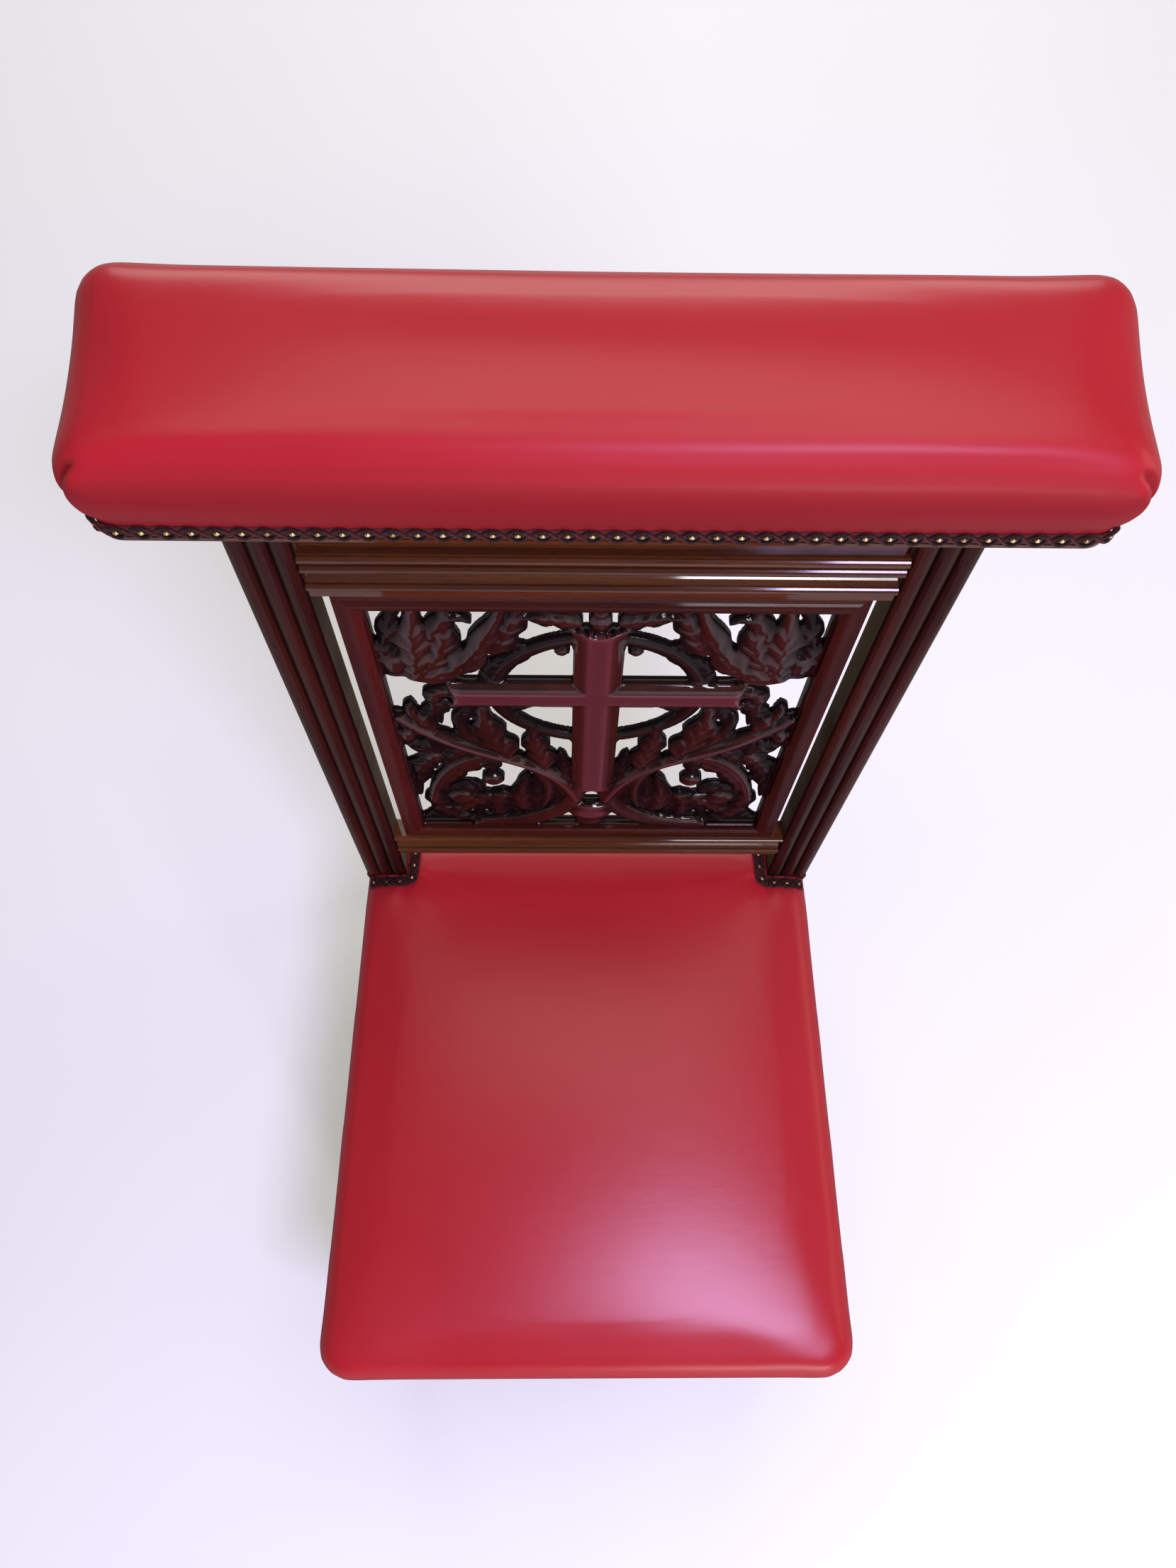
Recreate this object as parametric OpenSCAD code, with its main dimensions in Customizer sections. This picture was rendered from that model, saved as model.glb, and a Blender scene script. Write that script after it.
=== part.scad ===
// A low prayer chair: raked back with a pierced carved panel, a padded armrest
// board on top of the stiles, and a sprung seat to kneel on.
// X runs across the chair, Y from the front of the seat to the back, Z up.

/* [Seat] */
// Height of the leather's edge above the floor
seat_h = 312; // [290:1:335]
// Width of the leather across its front
seat_front_w = 431; // [414:1:448]
// Depth of the leather, from the face of the stiles to its front
seat_d = 408; // [380:1:430]
// Radius of the front corners seen from above
seat_corner_r = 26; // [22:1:34]
// Rise of the crown above the leather's edge
seat_crown = 13; // [6:1:20]
// Radius of the rolled upper edge of the leather
seat_edge_r = 15; // [10:1:20]
// Stuffing over the tops of the seat rails
seat_pad_t = 34; // [30:1:42]
// Wadding and leather over the outer faces of the seat rails
side_pad = 6; // [5:0.5:9]
// Thickness of the leather
leather_t = 1.6; // [1.2:0.1:2.2]
// How far the long sides of a pad are drawn in between its corners
drawn_in = 2; // [0:0.5:4]

/* [Seat frame] */
// Height of the seat rails
rail_h = 58; // [52:1:66]
// Thickness of the seat rails
rail_t = 22; // [18:1:26]
// Side of the square block at the top of a front leg
leg_block = 44; // [40:1:48]
// Largest radius of the front leg's turning
leg_turn_r = 19.5; // [16:0.5:20]
// Height of a corner block
corner_block_h = 40; // [30:1:48]
// Length of a corner block along each rail
corner_block_l = 46; // [36:1:60]
// Width of the webbing
web_w = 50; // [44:1:56]
// Thickness of the webbing
web_t = 1.2; // [0.8:0.1:1.8]
// Thickness of the hessian over the springs
hessian_t = 0.8; // [0.6:0.1:1.2]
// Diameter of the spring wire
spring_wire_d = 3.2; // [2.4:0.2:4]
// Radius of a spring at its ends
spring_end_r = 38; // [30:1:42]
// Radius of a spring at its waist
spring_waist_r = 24; // [18:1:28]

/* [Back] */
// Width over the two stiles
back_w = 390; // [376:1:402]
// Width of a stile
stile_w = 35; // [30:1:38]
// Depth of a stile
stile_d = 30; // [27:1:34]
// Lean of the back away from the seat, in degrees
rake = 7.4; // [4:0.2:10]
// Depth of the hollows between the three reeds of a stile
reed_h = 2.8; // [1.5:0.1:4]
// Radius of the rear corners of a stile
stile_back_r = 11; // [6:1:13]
// Distance that the back feet stand behind the face of the stiles
foot_back = 44; // [30:1:60]
// Depth of a back foot
foot_d = 27; // [22:1:30]
// Width of a back foot
foot_w = 25; // [20:1:30]
// Height of the frieze rail's face, measured along the stile
frieze_h = 76.8; // [67:0.1:87]
// Open gap under the lower back rail, measured along the stile
back_gap = 46; // [36:1:56]
// Height of the lower back rail
lower_rail_h = 39; // [32:1:44]
// Thickness of the two back rails
back_rail_t = 18; // [16:1:22]
// Set back of the back rails' beads behind the reeds
back_rail_in = 0; // [0:0.5:3]
// Length of a tenon on a back rail
tenon_l = 18; // [14:1:22]
// Thickness of the tenons
tenon_t = 8; // [6:1:10]
// Width of each gap between a stile and the carved panel's frame
side_gap = 9.5; // [6:0.5:16]

/* [Carved panel] */
// Width of the frame's mouldings
frame_w = 15.5; // [13:0.5:19]
// Thickness of the frame
frame_t = 14; // [12:0.5:16]
// Set back of the frame behind the reeds
frame_in = 2; // [1:0.5:4]
// Depth of the groove that holds the panel
groove_d = 4.5; // [3:0.5:6]
// Width of the cross
cross_w = 31; // [26:1:36]
// Width of the flat face of the cross
cross_face_w = 14; // [9:1:17]
// Inside radius of the ring behind the cross
ring_r = 60; // [50:1:64]
// Width of the ring
ring_w = 12; // [9:1:16]
// Thickness of the carving
carving_t = 11.5; // [9:0.5:12]

/* [Armrest] */
// Height of the board's underside above the leather's edge
board_rise = 513.5; // [495:0.5:535]
// Width of the board
board_w = 489; // [460:1:520]
// Depth of the board from front to back
board_d = 108; // [95:1:130]
// Thickness of the board
board_t = 19; // [17:1:24]
// Distance that the board stands in front of the stiles
board_over = 14; // [6:1:20]
// Radius of the board's corners
board_r = 12; // [8:1:20]
// Height of the padding above the board
arm_pad_h = 56; // [45:1:70]
// How far the padding swells out past the board
arm_swell = 5; // [3:0.5:8]
// Radius of the pad's upper edge
arm_edge_r = 25; // [16:1:28]
// Rise of the crown of the armrest
arm_crown = 5; // [2:1:10]
// Height of the gimp
gimp_h = 13; // [10:1:15]
// Thickness of the gimp
gimp_t = 1.2; // [0.8:0.1:1.8]

/* [Hidden] */
$fn = 48;

// Overrun of cuts, and small clearances between pieces
over = 1;
soft_gap = 0.3;
glue_gap = 0.1;

// Levels
rail_top = seat_h - seat_pad_t;
rail_bottom = rail_top - rail_h;
hem_up = 3;
hem_z = rail_bottom + hem_up;
board_z = seat_h + board_rise;
board_top = board_z + board_t;

// Places across and along the chair
stile_out = back_w / 2;
stile_in = stile_out - stile_w;
block_d = stile_d / cos(rake);
board_y = board_rise * tan(rake) - board_over;
arm_out = arm_swell + leather_t;
y_shift = (seat_d - (board_y + board_d + arm_out)) / 2;

// Wood colours
mahogany = [0.30, 0.08, 0.05];
mahogany_brown = [0.36, 0.15, 0.07];
beech = [0.72, 0.55, 0.36];
leather_red = [0.72, 0.06, 0.09];
steel_grey = [0.55, 0.55, 0.57];
jute = [0.70, 0.58, 0.38];

function arc_pts(c, r, a0, a1, n) =
  [for (i = [0:n]) let (a = a0 + (a1 - a0) * i / n) [c[0] + r * cos(a), c[1] + r * sin(a)]];
function flip(pts) = [for (i = [len(pts) - 1:-1:0]) pts[i]];
function swap(pts) = [for (p = pts) [p[1], p[0]]];

module placed() translate([0, y_shift, 0]) children();
// Carries a piece of the back: local Y is the depth behind the reeds, local Z the way up the stile
module raked() placed() translate([0, 0, seat_h]) rotate([-rake, 0, 0]) children();
// Extrudes an outline in Y and Z along X, about the middle of the chair
module along_x(length) translate([-length / 2, 0, 0]) rotate([90, 0, 90]) linear_extrude(length) children();
// Extrudes an outline in X and Z through the depths from y0 to y1
module plate(y0, y1) translate([0, y1, 0]) rotate([90, 0, 0]) linear_extrude(y1 - y0) children();
module at_both(x) for (s = [-1, 1]) translate([s * x, 0, 0]) children();

// Stiles

reed_w = stile_w / 3;
reed_r = (reed_w * reed_w / 4 + reed_h * reed_h) / (2 * reed_h);
reed_a = asin(reed_w / 2 / reed_r);
reed_steps = 6;
// Front of a stile, three round reeds side by side
reeds = [for (k = [0:2]) for (i = [0:reed_steps - 1])
  let (a = -reed_a + 2 * reed_a * i / reed_steps)
  [reed_w * (k + 0.5) + reed_r * sin(a), reed_r * (1 - cos(a))]];
stile_section = concat(reeds,
  [[stile_w, reed_h]],
  arc_pts([stile_w - stile_back_r, stile_d - stile_back_r], stile_back_r, 0, 90, 6),
  arc_pts([stile_back_r, stile_d - stile_back_r], stile_back_r, 90, 180, 6));

leg_top = rail_bottom - hem_up;
leg_steps = 14;
leg_curve_share = 1.6;
function leg_front(z) = foot_back * pow(1 - z / leg_top, leg_curve_share);
function leg_depth(z) = foot_d + (block_d - foot_d) * z / leg_top;
leg_zs = [for (i = [0:leg_steps]) leg_top * i / leg_steps];
block_top = seat_h - over;
// Side of the back leg, from the foot up to the seat
back_leg_side = concat(
  [for (z = leg_zs) [leg_front(z), z]],
  [[0, block_top], [block_d, block_top]],
  [for (z = flip(leg_zs)) [leg_front(z) + leg_depth(z), z]]);
back_leg_front = [
  [stile_out, 0], [stile_out, block_top], [stile_in, block_top],
  [stile_in, leg_top], [stile_out - foot_w, 0]];

// Tenon under the armrest board, round and upright
board_tenon_r = 8;
board_tenon_h = 12;
board_tenon_x = stile_in + stile_w / 2;
board_tenon_y = board_rise * tan(rake) + stile_d / 2 / cos(rake);

// Tenons of the two back rails
shoulder = 5;
back_rail_mid = back_rail_in + back_rail_t / 2;
lower_rail_z = back_gap;
frame_z = lower_rail_z + lower_rail_h;
frieze_z = board_rise / cos(rake) - frieze_h;
frame_h = frieze_z - frame_z;

// A pair of bars, from inside the shoulders at x out by a length; a gap widens them for the mortises
module bar_pair(x, length, y, t, z, h, gap) at_both(x + (length - over) / 2)
  translate([-(length + over) / 2 - gap, y - gap, z - gap])
    cube([length + over + 2 * gap, t + 2 * gap, h + 2 * gap]);
module rail_tenons(z0, h, gap)
  bar_pair(stile_in, tenon_l, back_rail_mid - tenon_t / 2, tenon_t, z0 + shoulder, h - 2 * shoulder, gap);

// Tenons of the seat rails
seat_tenon_l = 11;
seat_tenon_h = rail_h - 4 * shoulder;
seat_tenon_z = rail_bottom + 2 * shoulder;
back_tenon_y = 14;
back_tenon_l = 16;

function seat_hw(y) = back_w / 2 + (seat_front_w - back_w) / 2 * -y / seat_d;
front_y = -seat_d + side_pad;
leg_back_y = front_y + leg_block;
leg_out = seat_hw(leg_back_y) - side_pad;
leg_in = leg_out - leg_block;
leg_mid_x = leg_out - leg_block / 2;
leg_mid_y = front_y + leg_block / 2;
side_back_x = seat_hw(0) - side_pad;
side_front_x = leg_out;
seat_back_y = block_d;
back_rail_y1 = seat_back_y - side_pad;
back_rail_y0 = back_rail_y1 - rail_t;

module side_rail_tenons(gap) {
  translate([side_back_x - (rail_t + tenon_t) / 2 - gap, -over, seat_tenon_z - gap])
    cube([tenon_t + 2 * gap, seat_tenon_l + gap + over, seat_tenon_h + 2 * gap]);
  translate([leg_out - (rail_t + tenon_t) / 2 - gap, leg_back_y - seat_tenon_l - gap, seat_tenon_z - gap])
    cube([tenon_t + 2 * gap, seat_tenon_l + gap + over, seat_tenon_h + 2 * gap]);
}
module back_seat_tenons(gap)
  bar_pair(stile_in, back_tenon_l, back_tenon_y, tenon_t, seat_tenon_z, seat_tenon_h, gap);
module front_seat_tenons(gap)
  bar_pair(leg_in, seat_tenon_l, front_y + (rail_t - tenon_t) / 2, tenon_t, seat_tenon_z, seat_tenon_h, gap);

module stile() {
  difference() {
    union() {
      difference() {
        raked() translate([stile_in, 0, -stile_d / 4])
          linear_extrude(board_rise / cos(rake) + stile_d) polygon(stile_section);
        placed() translate([0, -stile_d, board_z]) cube([back_w, board_rise, stile_d * 2]);
        placed() translate([0, -stile_d, block_top - stile_d]) cube([back_w, stile_d * 3, stile_d]);
      }
      placed() intersection() {
        translate([stile_in - over, 0, 0]) rotate([90, 0, 90])
          linear_extrude(stile_w + 2 * over) polygon(back_leg_side);
        plate(-over, foot_back + block_d + over) polygon(back_leg_front);
      }
      placed() translate([board_tenon_x, board_tenon_y, board_z - over])
        cylinder(r = board_tenon_r, h = board_tenon_h + over);
    }
    raked() rail_tenons(lower_rail_z, lower_rail_h, glue_gap);
    raked() rail_tenons(frieze_z, frieze_tenon_h, glue_gap);
    placed() side_rail_tenons(glue_gap);
    placed() back_seat_tenons(glue_gap);
    placed() block_screws(1, glue_gap);
  }
}
module stile_right() color(mahogany) stile();
module stile_left() color(mahogany) mirror([1, 0, 0]) stile();

// Front legs

leg_turn_h = rail_bottom - 2 * hem_up;
// Turned outline of a front leg: share of the largest radius, share of the turned height
leg_turn_shares = [
  [0.00, 0.00], [0.62, 0.00], [0.72, 0.015], [0.80, 0.05], [0.80, 0.08], [0.70, 0.115], [0.56, 0.135],
  [0.56, 0.145], [0.66, 0.155], [0.69, 0.17], [0.66, 0.185], [0.57, 0.195],
  [0.56, 0.22], [0.60, 0.32], [0.68, 0.45], [0.79, 0.58], [0.89, 0.68], [0.94, 0.74], [0.93, 0.765],
  [0.84, 0.785], [0.84, 0.795], [0.95, 0.80], [1.00, 0.82], [0.95, 0.84], [0.80, 0.845],
  [0.70, 0.86], [0.67, 0.885], [0.70, 0.905], [0.80, 0.92],
  [0.94, 0.925], [0.99, 0.945], [0.94, 0.965], [0.84, 0.97], [0.84, 1.00], [0.00, 1.00]];

module front_leg() {
  placed() difference() {
    union() {
      translate([leg_mid_x, leg_mid_y, 0]) rotate_extrude()
        polygon([for (s = leg_turn_shares) [s[0] * leg_turn_r, s[1] * leg_turn_h]]);
      translate([0, 0, leg_turn_h]) linear_extrude(rail_top - leg_turn_h) polygon(leg_block_outline);
    }
    front_seat_tenons(glue_gap);
    side_rail_tenons(glue_gap);
    block_screws(0, glue_gap);
  }
}
leg_corner_r = seat_corner_r - side_pad + leather_t;
leg_block_outline = concat(
  [[leg_in, front_y]],
  arc_pts([leg_out - leg_corner_r, front_y + leg_corner_r], leg_corner_r, -90, 0, 8),
  [[leg_out, leg_back_y], [leg_in, leg_back_y]]);
module front_leg_right() color(mahogany) front_leg();
module front_leg_left() color(mahogany) mirror([1, 0, 0]) front_leg();

// Seat rails

module seat_rail_front() color(beech) placed() {
  translate([-leg_in, front_y, rail_bottom]) cube([2 * leg_in, rail_t, rail_h]);
  front_seat_tenons(0);
}
module seat_rail_back() color(beech) placed() {
  translate([-stile_in, back_rail_y0, rail_bottom]) cube([2 * stile_in, rail_t, rail_h]);
  back_seat_tenons(0);
}
side_rail_outline = [
  [side_back_x, 0], [side_back_x - rail_t, 0],
  [side_front_x - rail_t, leg_back_y], [side_front_x, leg_back_y]];
module seat_rail() placed() {
  translate([0, 0, rail_bottom]) linear_extrude(rail_h) polygon(side_rail_outline);
  side_rail_tenons(0);
}
module seat_rail_right() color(beech) seat_rail();
module seat_rail_left() color(beech) mirror([1, 0, 0]) seat_rail();

// Corner blocks, cut to the stepped corners inside the frame, each held by one screw

block_z = rail_bottom + (rail_h - corner_block_h) / 2;
front_rail_in_y = front_y + rail_t;
function rail_in_x(y) = side_back_x - rail_t + (side_front_x - side_back_x) * y / leg_back_y;
front_block = [
  [leg_in - corner_block_l / 2, front_rail_in_y], [leg_in, front_rail_in_y], [leg_in, leg_back_y],
  [rail_in_x(leg_back_y), leg_back_y],
  [rail_in_x(leg_back_y + corner_block_l / 2), leg_back_y + corner_block_l / 2]];
back_block = [
  [rail_in_x(-corner_block_l), -corner_block_l], [rail_in_x(0), 0], [stile_in, 0],
  [stile_in, back_rail_y0], [stile_in - corner_block_l, back_rail_y0]];
block_screw_r = 2.2;
block_head_r = 4.6;
block_head_h = 2.4;
block_screw_deep = 15;
// Middle of each block's slanting face, and the corner that its screw runs into
front_face_mid = (front_block[0] + front_block[4]) / 2;
back_face_mid = (back_block[0] + back_block[4]) / 2;
front_corner = [leg_in, leg_back_y];
back_corner = [stile_in, 0];
function face_normal(a, b) = let (d = b - a) [d[1], -d[0]] / norm(d);
front_dir = -face_normal(front_block[0], front_block[4]);
back_dir = face_normal(back_block[0], back_block[4]);
function reach(mid, corner) = norm(corner - mid) + block_screw_deep;

module one_screw(mid, dir, length, gap) {
  translate([mid[0], mid[1], block_z + corner_block_h / 2])
    rotate([0, 0, atan2(dir[1], dir[0])]) rotate([0, 90, 0]) {
      translate([0, 0, -block_head_h]) cylinder(r = block_head_r, h = block_head_h - gap);
      translate([0, 0, -block_head_h / 2])
        cylinder(r = block_screw_r + gap, h = length + block_head_h / 2 + gap);
    }
}
module block_screws(back, gap) {
  if (back == 1) one_screw(back_face_mid, back_dir, reach(back_face_mid, back_corner), gap);
  if (back == 0) one_screw(front_face_mid, front_dir, reach(front_face_mid, front_corner), gap);
}
module corner_blocks() color(beech) placed() for (m = [0, 1]) mirror([m, 0, 0]) difference() {
  translate([0, 0, block_z]) linear_extrude(corner_block_h) {
    polygon(front_block);
    polygon(back_block);
  }
  block_screws(0, glue_gap);
  block_screws(1, glue_gap);
}
module corner_block_screws() color(steel_grey) placed() for (m = [0, 1]) mirror([m, 0, 0]) {
  block_screws(0, 0);
  block_screws(1, 0);
}

// Back rails

// Height of the frieze rail's tenon, kept clear of the board
frieze_tenon_h = frieze_h - shoulder;
bead_r = 3;
fillet_h = 9;
// Round bead on a moulded face: its centre height and the depth of the face behind it
function bead(zc, face) = arc_pts([face, zc], bead_r, -90, -270, 8);
back_face = back_rail_in + back_rail_t;
mould_face = back_rail_in + bead_r;
cove_d = 3.2;
// Face of a rail from the bottom up: fillet, beads and a long hollow
lower_section = concat(
  [[mould_face, 0], [mould_face, fillet_h]],
  bead(fillet_h + bead_r, mould_face),
  [for (i = [0:8]) let (t = i / 8)
    [mould_face + cove_d * sin(180 * t),
     fillet_h + 2 * bead_r + (lower_rail_h - fillet_h - 4 * bead_r) * t]],
  bead(lower_rail_h - bead_r, mould_face),
  [[back_face, lower_rail_h], [back_face, 0]]);

// Heights of the frieze's three beads and the step above them, as shares of its face
frieze_bead_shares = [0.138, 0.358, 0.469];
frieze_step_share = 0.521;
frieze_beads = frieze_bead_shares * frieze_h;
frieze_step = frieze_step_share * frieze_h;
frieze_sunk = 4.5;
frieze_section = concat(
  [[mould_face, 0], [mould_face, frieze_beads[0] - bead_r]],
  bead(frieze_beads[0], mould_face),
  [for (i = [1:7]) let (t = i / 8)
    [mould_face + cove_d * sin(180 * t),
     frieze_beads[0] + bead_r + (frieze_beads[1] - frieze_beads[0] - 2 * bead_r) * t]],
  bead(frieze_beads[1], mould_face),
  bead(frieze_beads[2], mould_face),
  [[mould_face, frieze_step], [mould_face + frieze_sunk, frieze_step],
   [mould_face + frieze_sunk, frieze_h + stile_d], [back_face, frieze_h + stile_d], [back_face, 0]]);

dowel_r = 3;
dowel_l = 20;
dowel_x_share = 0.6;
module frame_dowel_set(gap) {
  for (z = [frame_z, frieze_z]) at_both(dowel_x_share * frame_out)
    translate([0, frame_in + frame_t / 2, z - dowel_l / 2 - gap])
      cylinder(r = dowel_r + gap, h = dowel_l + 2 * gap);
}
module lower_back_rail() color(mahogany_brown) raked() difference() {
  union() {
    along_x(2 * stile_in) translate([0, lower_rail_z]) polygon(lower_section);
    rail_tenons(lower_rail_z, lower_rail_h, 0);
  }
  frame_dowel_set(glue_gap);
}
module frieze_rail() color(mahogany_brown) difference() {
  raked() union() {
    along_x(2 * stile_in) translate([0, frieze_z]) polygon(frieze_section);
    rail_tenons(frieze_z, frieze_tenon_h, 0);
  }
  raked() frame_dowel_set(glue_gap);
  placed() translate([-back_w / 2, -stile_d, board_z]) cube([back_w, board_rise, stile_d * 3]);
  board_screw_set(glue_gap);
}

// Frame of the carved panel: four mitred mouldings with a groove inside

frame_out = stile_in - side_gap;
frame_chamfer = 5;
frame_chamfer_d = 3;
frame_back = frame_in + frame_t;
panel_sunk = 5;
panel_in = frame_in + panel_sunk;
panel_rim_t = 5;
frame_bow = 1.6;
// Section of a moulding: depth, then distance in from its outer edge
frame_section = concat(
  [[frame_back, 0], [frame_in + frame_chamfer_d, 0]],
  [for (i = [0:6]) let (t = i / 6)
    [frame_in + frame_bow - frame_bow * sin(180 * t),
     frame_chamfer + (frame_w - frame_chamfer) * t]],
  [[panel_in - glue_gap, frame_w], [panel_in - glue_gap, frame_w - groove_d],
   [panel_in + panel_rim_t + glue_gap, frame_w - groove_d], [panel_in + panel_rim_t + glue_gap, frame_w],
   [frame_back, frame_w]]);
module frame_member(length) intersection() {
  along_x(length) polygon(frame_section);
  plate(0, frame_back + over) polygon([
    [-length / 2, 0], [length / 2, 0], [length / 2 - frame_w, frame_w], [-length / 2 + frame_w, frame_w]]);
}
module panel_frame_bottom() color(mahogany) raked() difference() {
  translate([0, 0, frame_z]) frame_member(2 * frame_out);
  frame_dowel_set(glue_gap);
}
module panel_frame_top() color(mahogany) raked() difference() {
  translate([0, 0, frieze_z]) rotate([0, 180, 0]) frame_member(2 * frame_out);
  frame_dowel_set(glue_gap);
}
module panel_frame_left() color(mahogany) raked()
  translate([-frame_out, 0, frame_z + frame_h / 2]) rotate([0, 90, 0]) frame_member(frame_h);
module panel_frame_right() color(mahogany) raked()
  translate([frame_out, 0, frame_z + frame_h / 2]) rotate([0, -90, 0]) frame_member(frame_h);
module panel_frame_dowels() color(beech) raked() frame_dowel_set(0);

// Carved panel: cross, ring, scrolls, leaves and flowers, pierced right through

panel_hw = frame_out - frame_w;
panel_z = frame_z + frame_w;
panel_h = frame_h - 2 * frame_w;
// How far the cross stands behind the frame, and the leaves and the ring behind the cross
cross_sunk = 1.5;
leaf_sunk = 2.5;
ring_sunk = 4;
carve_front = frame_in + cross_sunk;
carve_back = carve_front + carving_t;
leaf_front = carve_front + leaf_sunk;
ring_front = carve_front + ring_sunk;
rim_show = 1;

// Turns shares of the panel's half width and height into a place on it
function spot(s) = [s[0] * panel_hw, panel_z + s[1] * panel_h];
cross_mid_share = 0.676;
cross_top_share = 0.925;
cross_foot_share = 0.218;
cross_arm_share = 0.71;
cross_mid_z = spot([0, cross_mid_share])[1];
cross_top_z = spot([0, cross_top_share])[1];
cross_foot_z = spot([0, cross_foot_share])[1];
cross_arm = cross_arm_share * panel_hw;
cross_bevel_d = 4.5;
// Half of the cross's section, seen along a bar: across, then depth
cross_section = [
  [-cross_w / 2, carve_back], [-cross_w / 2, carve_front + cross_bevel_d], [-cross_face_w / 2, carve_front],
  [cross_face_w / 2, carve_front], [cross_w / 2, carve_front + cross_bevel_d], [cross_w / 2, carve_back]];
flare_w = 3.4;
flare_l = 13;
function flare(half, tip) = concat(
  [for (i = [0:6]) let (t = i / 6) [half + flare_w * t * t, tip - flare_l * (1 - t)]],
  [[0, tip - flare_l / 3]],
  [for (i = [6:-1:0]) let (t = i / 6) [-half - flare_w * t * t, tip - flare_l * (1 - t)]]);
module cross() {
  translate([0, 0, cross_foot_z])
    linear_extrude(cross_top_z - cross_foot_z - flare_l / 3) polygon(cross_section);
  along_x(2 * cross_arm) translate([0, cross_mid_z]) polygon(swap(cross_section));
  plate(leaf_front, carve_back) {
    polygon(flare(cross_w / 2, cross_top_z));
    translate([0, 2 * cross_foot_z]) mirror([0, 1]) polygon(flare(cross_w / 2, cross_foot_z));
    for (s = [-1, 1]) scale([s, 1]) translate([0, cross_mid_z]) rotate(-90)
      polygon(flare(cross_w / 2, cross_arm));
  }
}
ring_bevel = 2.5;
module ring() translate([0, carve_back - over, cross_mid_z]) rotate([90, 0, 0]) rotate_extrude($fn = 64)
  polygon([
    [ring_r, 0], [ring_r + ring_w, 0], [ring_r + ring_w, carve_back - over - ring_front - ring_bevel],
    [ring_r + ring_w - ring_bevel, carve_back - over - ring_front],
    [ring_r + ring_bevel, carve_back - over - ring_front],
    [ring_r, carve_back - over - ring_front - ring_bevel]]);

// Bud over the cross, turned outline: share of its radius, share of its height
bud_r = 6.2;
bud_h = 30;
bud_shares = [
  [0, 0], [0.45, 0.06], [0.85, 0.25], [1, 0.45], [0.85, 0.62], [0.6, 0.72], [0.7, 0.8], [0.75, 0.9], [0.6, 1],
  [0, 1]];
vase_r = 13.5;
vase_shares = [
  [0, 0], [0.55, 0], [0.72, 0.07], [0.74, 0.16], [0.5, 0.24], [0.42, 0.29], [0.6, 0.33], [0.9, 0.42],
  [1, 0.55], [0.98, 0.66], [0.8, 0.72], [0.72, 0.76], [0.8, 0.8], [0.62, 0.88], [0.5, 1], [0, 1]];
vase_h_share = 0.175;
module turned(shares, r, h) rotate_extrude() polygon([for (s = shares) [s[0] * r, s[1] * h]]);
module bud_and_vase() {
  translate([0, (carve_front + carve_back) / 2, panel_z + panel_h - bud_h])
    turned(bud_shares, bud_r, bud_h + over);
  intersection() {
    translate([0, carve_back + over, panel_z - over]) turned(vase_shares, vase_r, vase_h_share * panel_h);
    translate([-vase_r, carve_front, panel_z - over]) cube([2 * vase_r, carving_t, panel_h]);
  }
}

// A leaf grows along a curve of four points; its edge swells and dips into lobes
leaf_steps = 13;
function bez(p, t) = let (u = 1 - t)
  u * u * u * p[0] + 3 * u * u * t * p[1] + 3 * u * t * t * p[2] + t * t * t * p[3];
function bez_dir(p, t) = let (u = 1 - t,
    d = u * u * (p[1] - p[0]) + 2 * u * t * (p[2] - p[1]) + t * t * (p[3] - p[2]))
  [-d[1], d[0]] / norm(d);
lobe_share = 0.34;
function leaf_width(t, lobes) =
  pow(sin(180 * pow(t, 0.7)), 0.75) * (1 - lobe_share * pow(cos(180 * lobes * t), 2));
function leaf_edge(p, w, lobes, s) = [for (i = [0:leaf_steps]) let (t = i / leaf_steps)
  bez(p, t) + s * bez_dir(p, t) * (w * leaf_width(t, lobes) + stem_tip)];
stem_tip = 0.7;
function leaf_outline(p, w, lobes) = concat(leaf_edge(p, w, lobes, 1), flip(leaf_edge(p, w, lobes, -1)));
// Midrib, thick at the root and thin at the tip
rib_steps = 8;
rib_w = 2.4;
rib_out = 2;
rib_share = 0.9;
function rib_edge(p, s) = [for (i = [0:rib_steps]) let (t = i / rib_steps * rib_share)
  bez(p, t) + s * bez_dir(p, t) * (rib_w * (1 - t) + stem_tip)];
function rib_outline(p) = concat(rib_edge(p, 1), flip(rib_edge(p, -1)));

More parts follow.
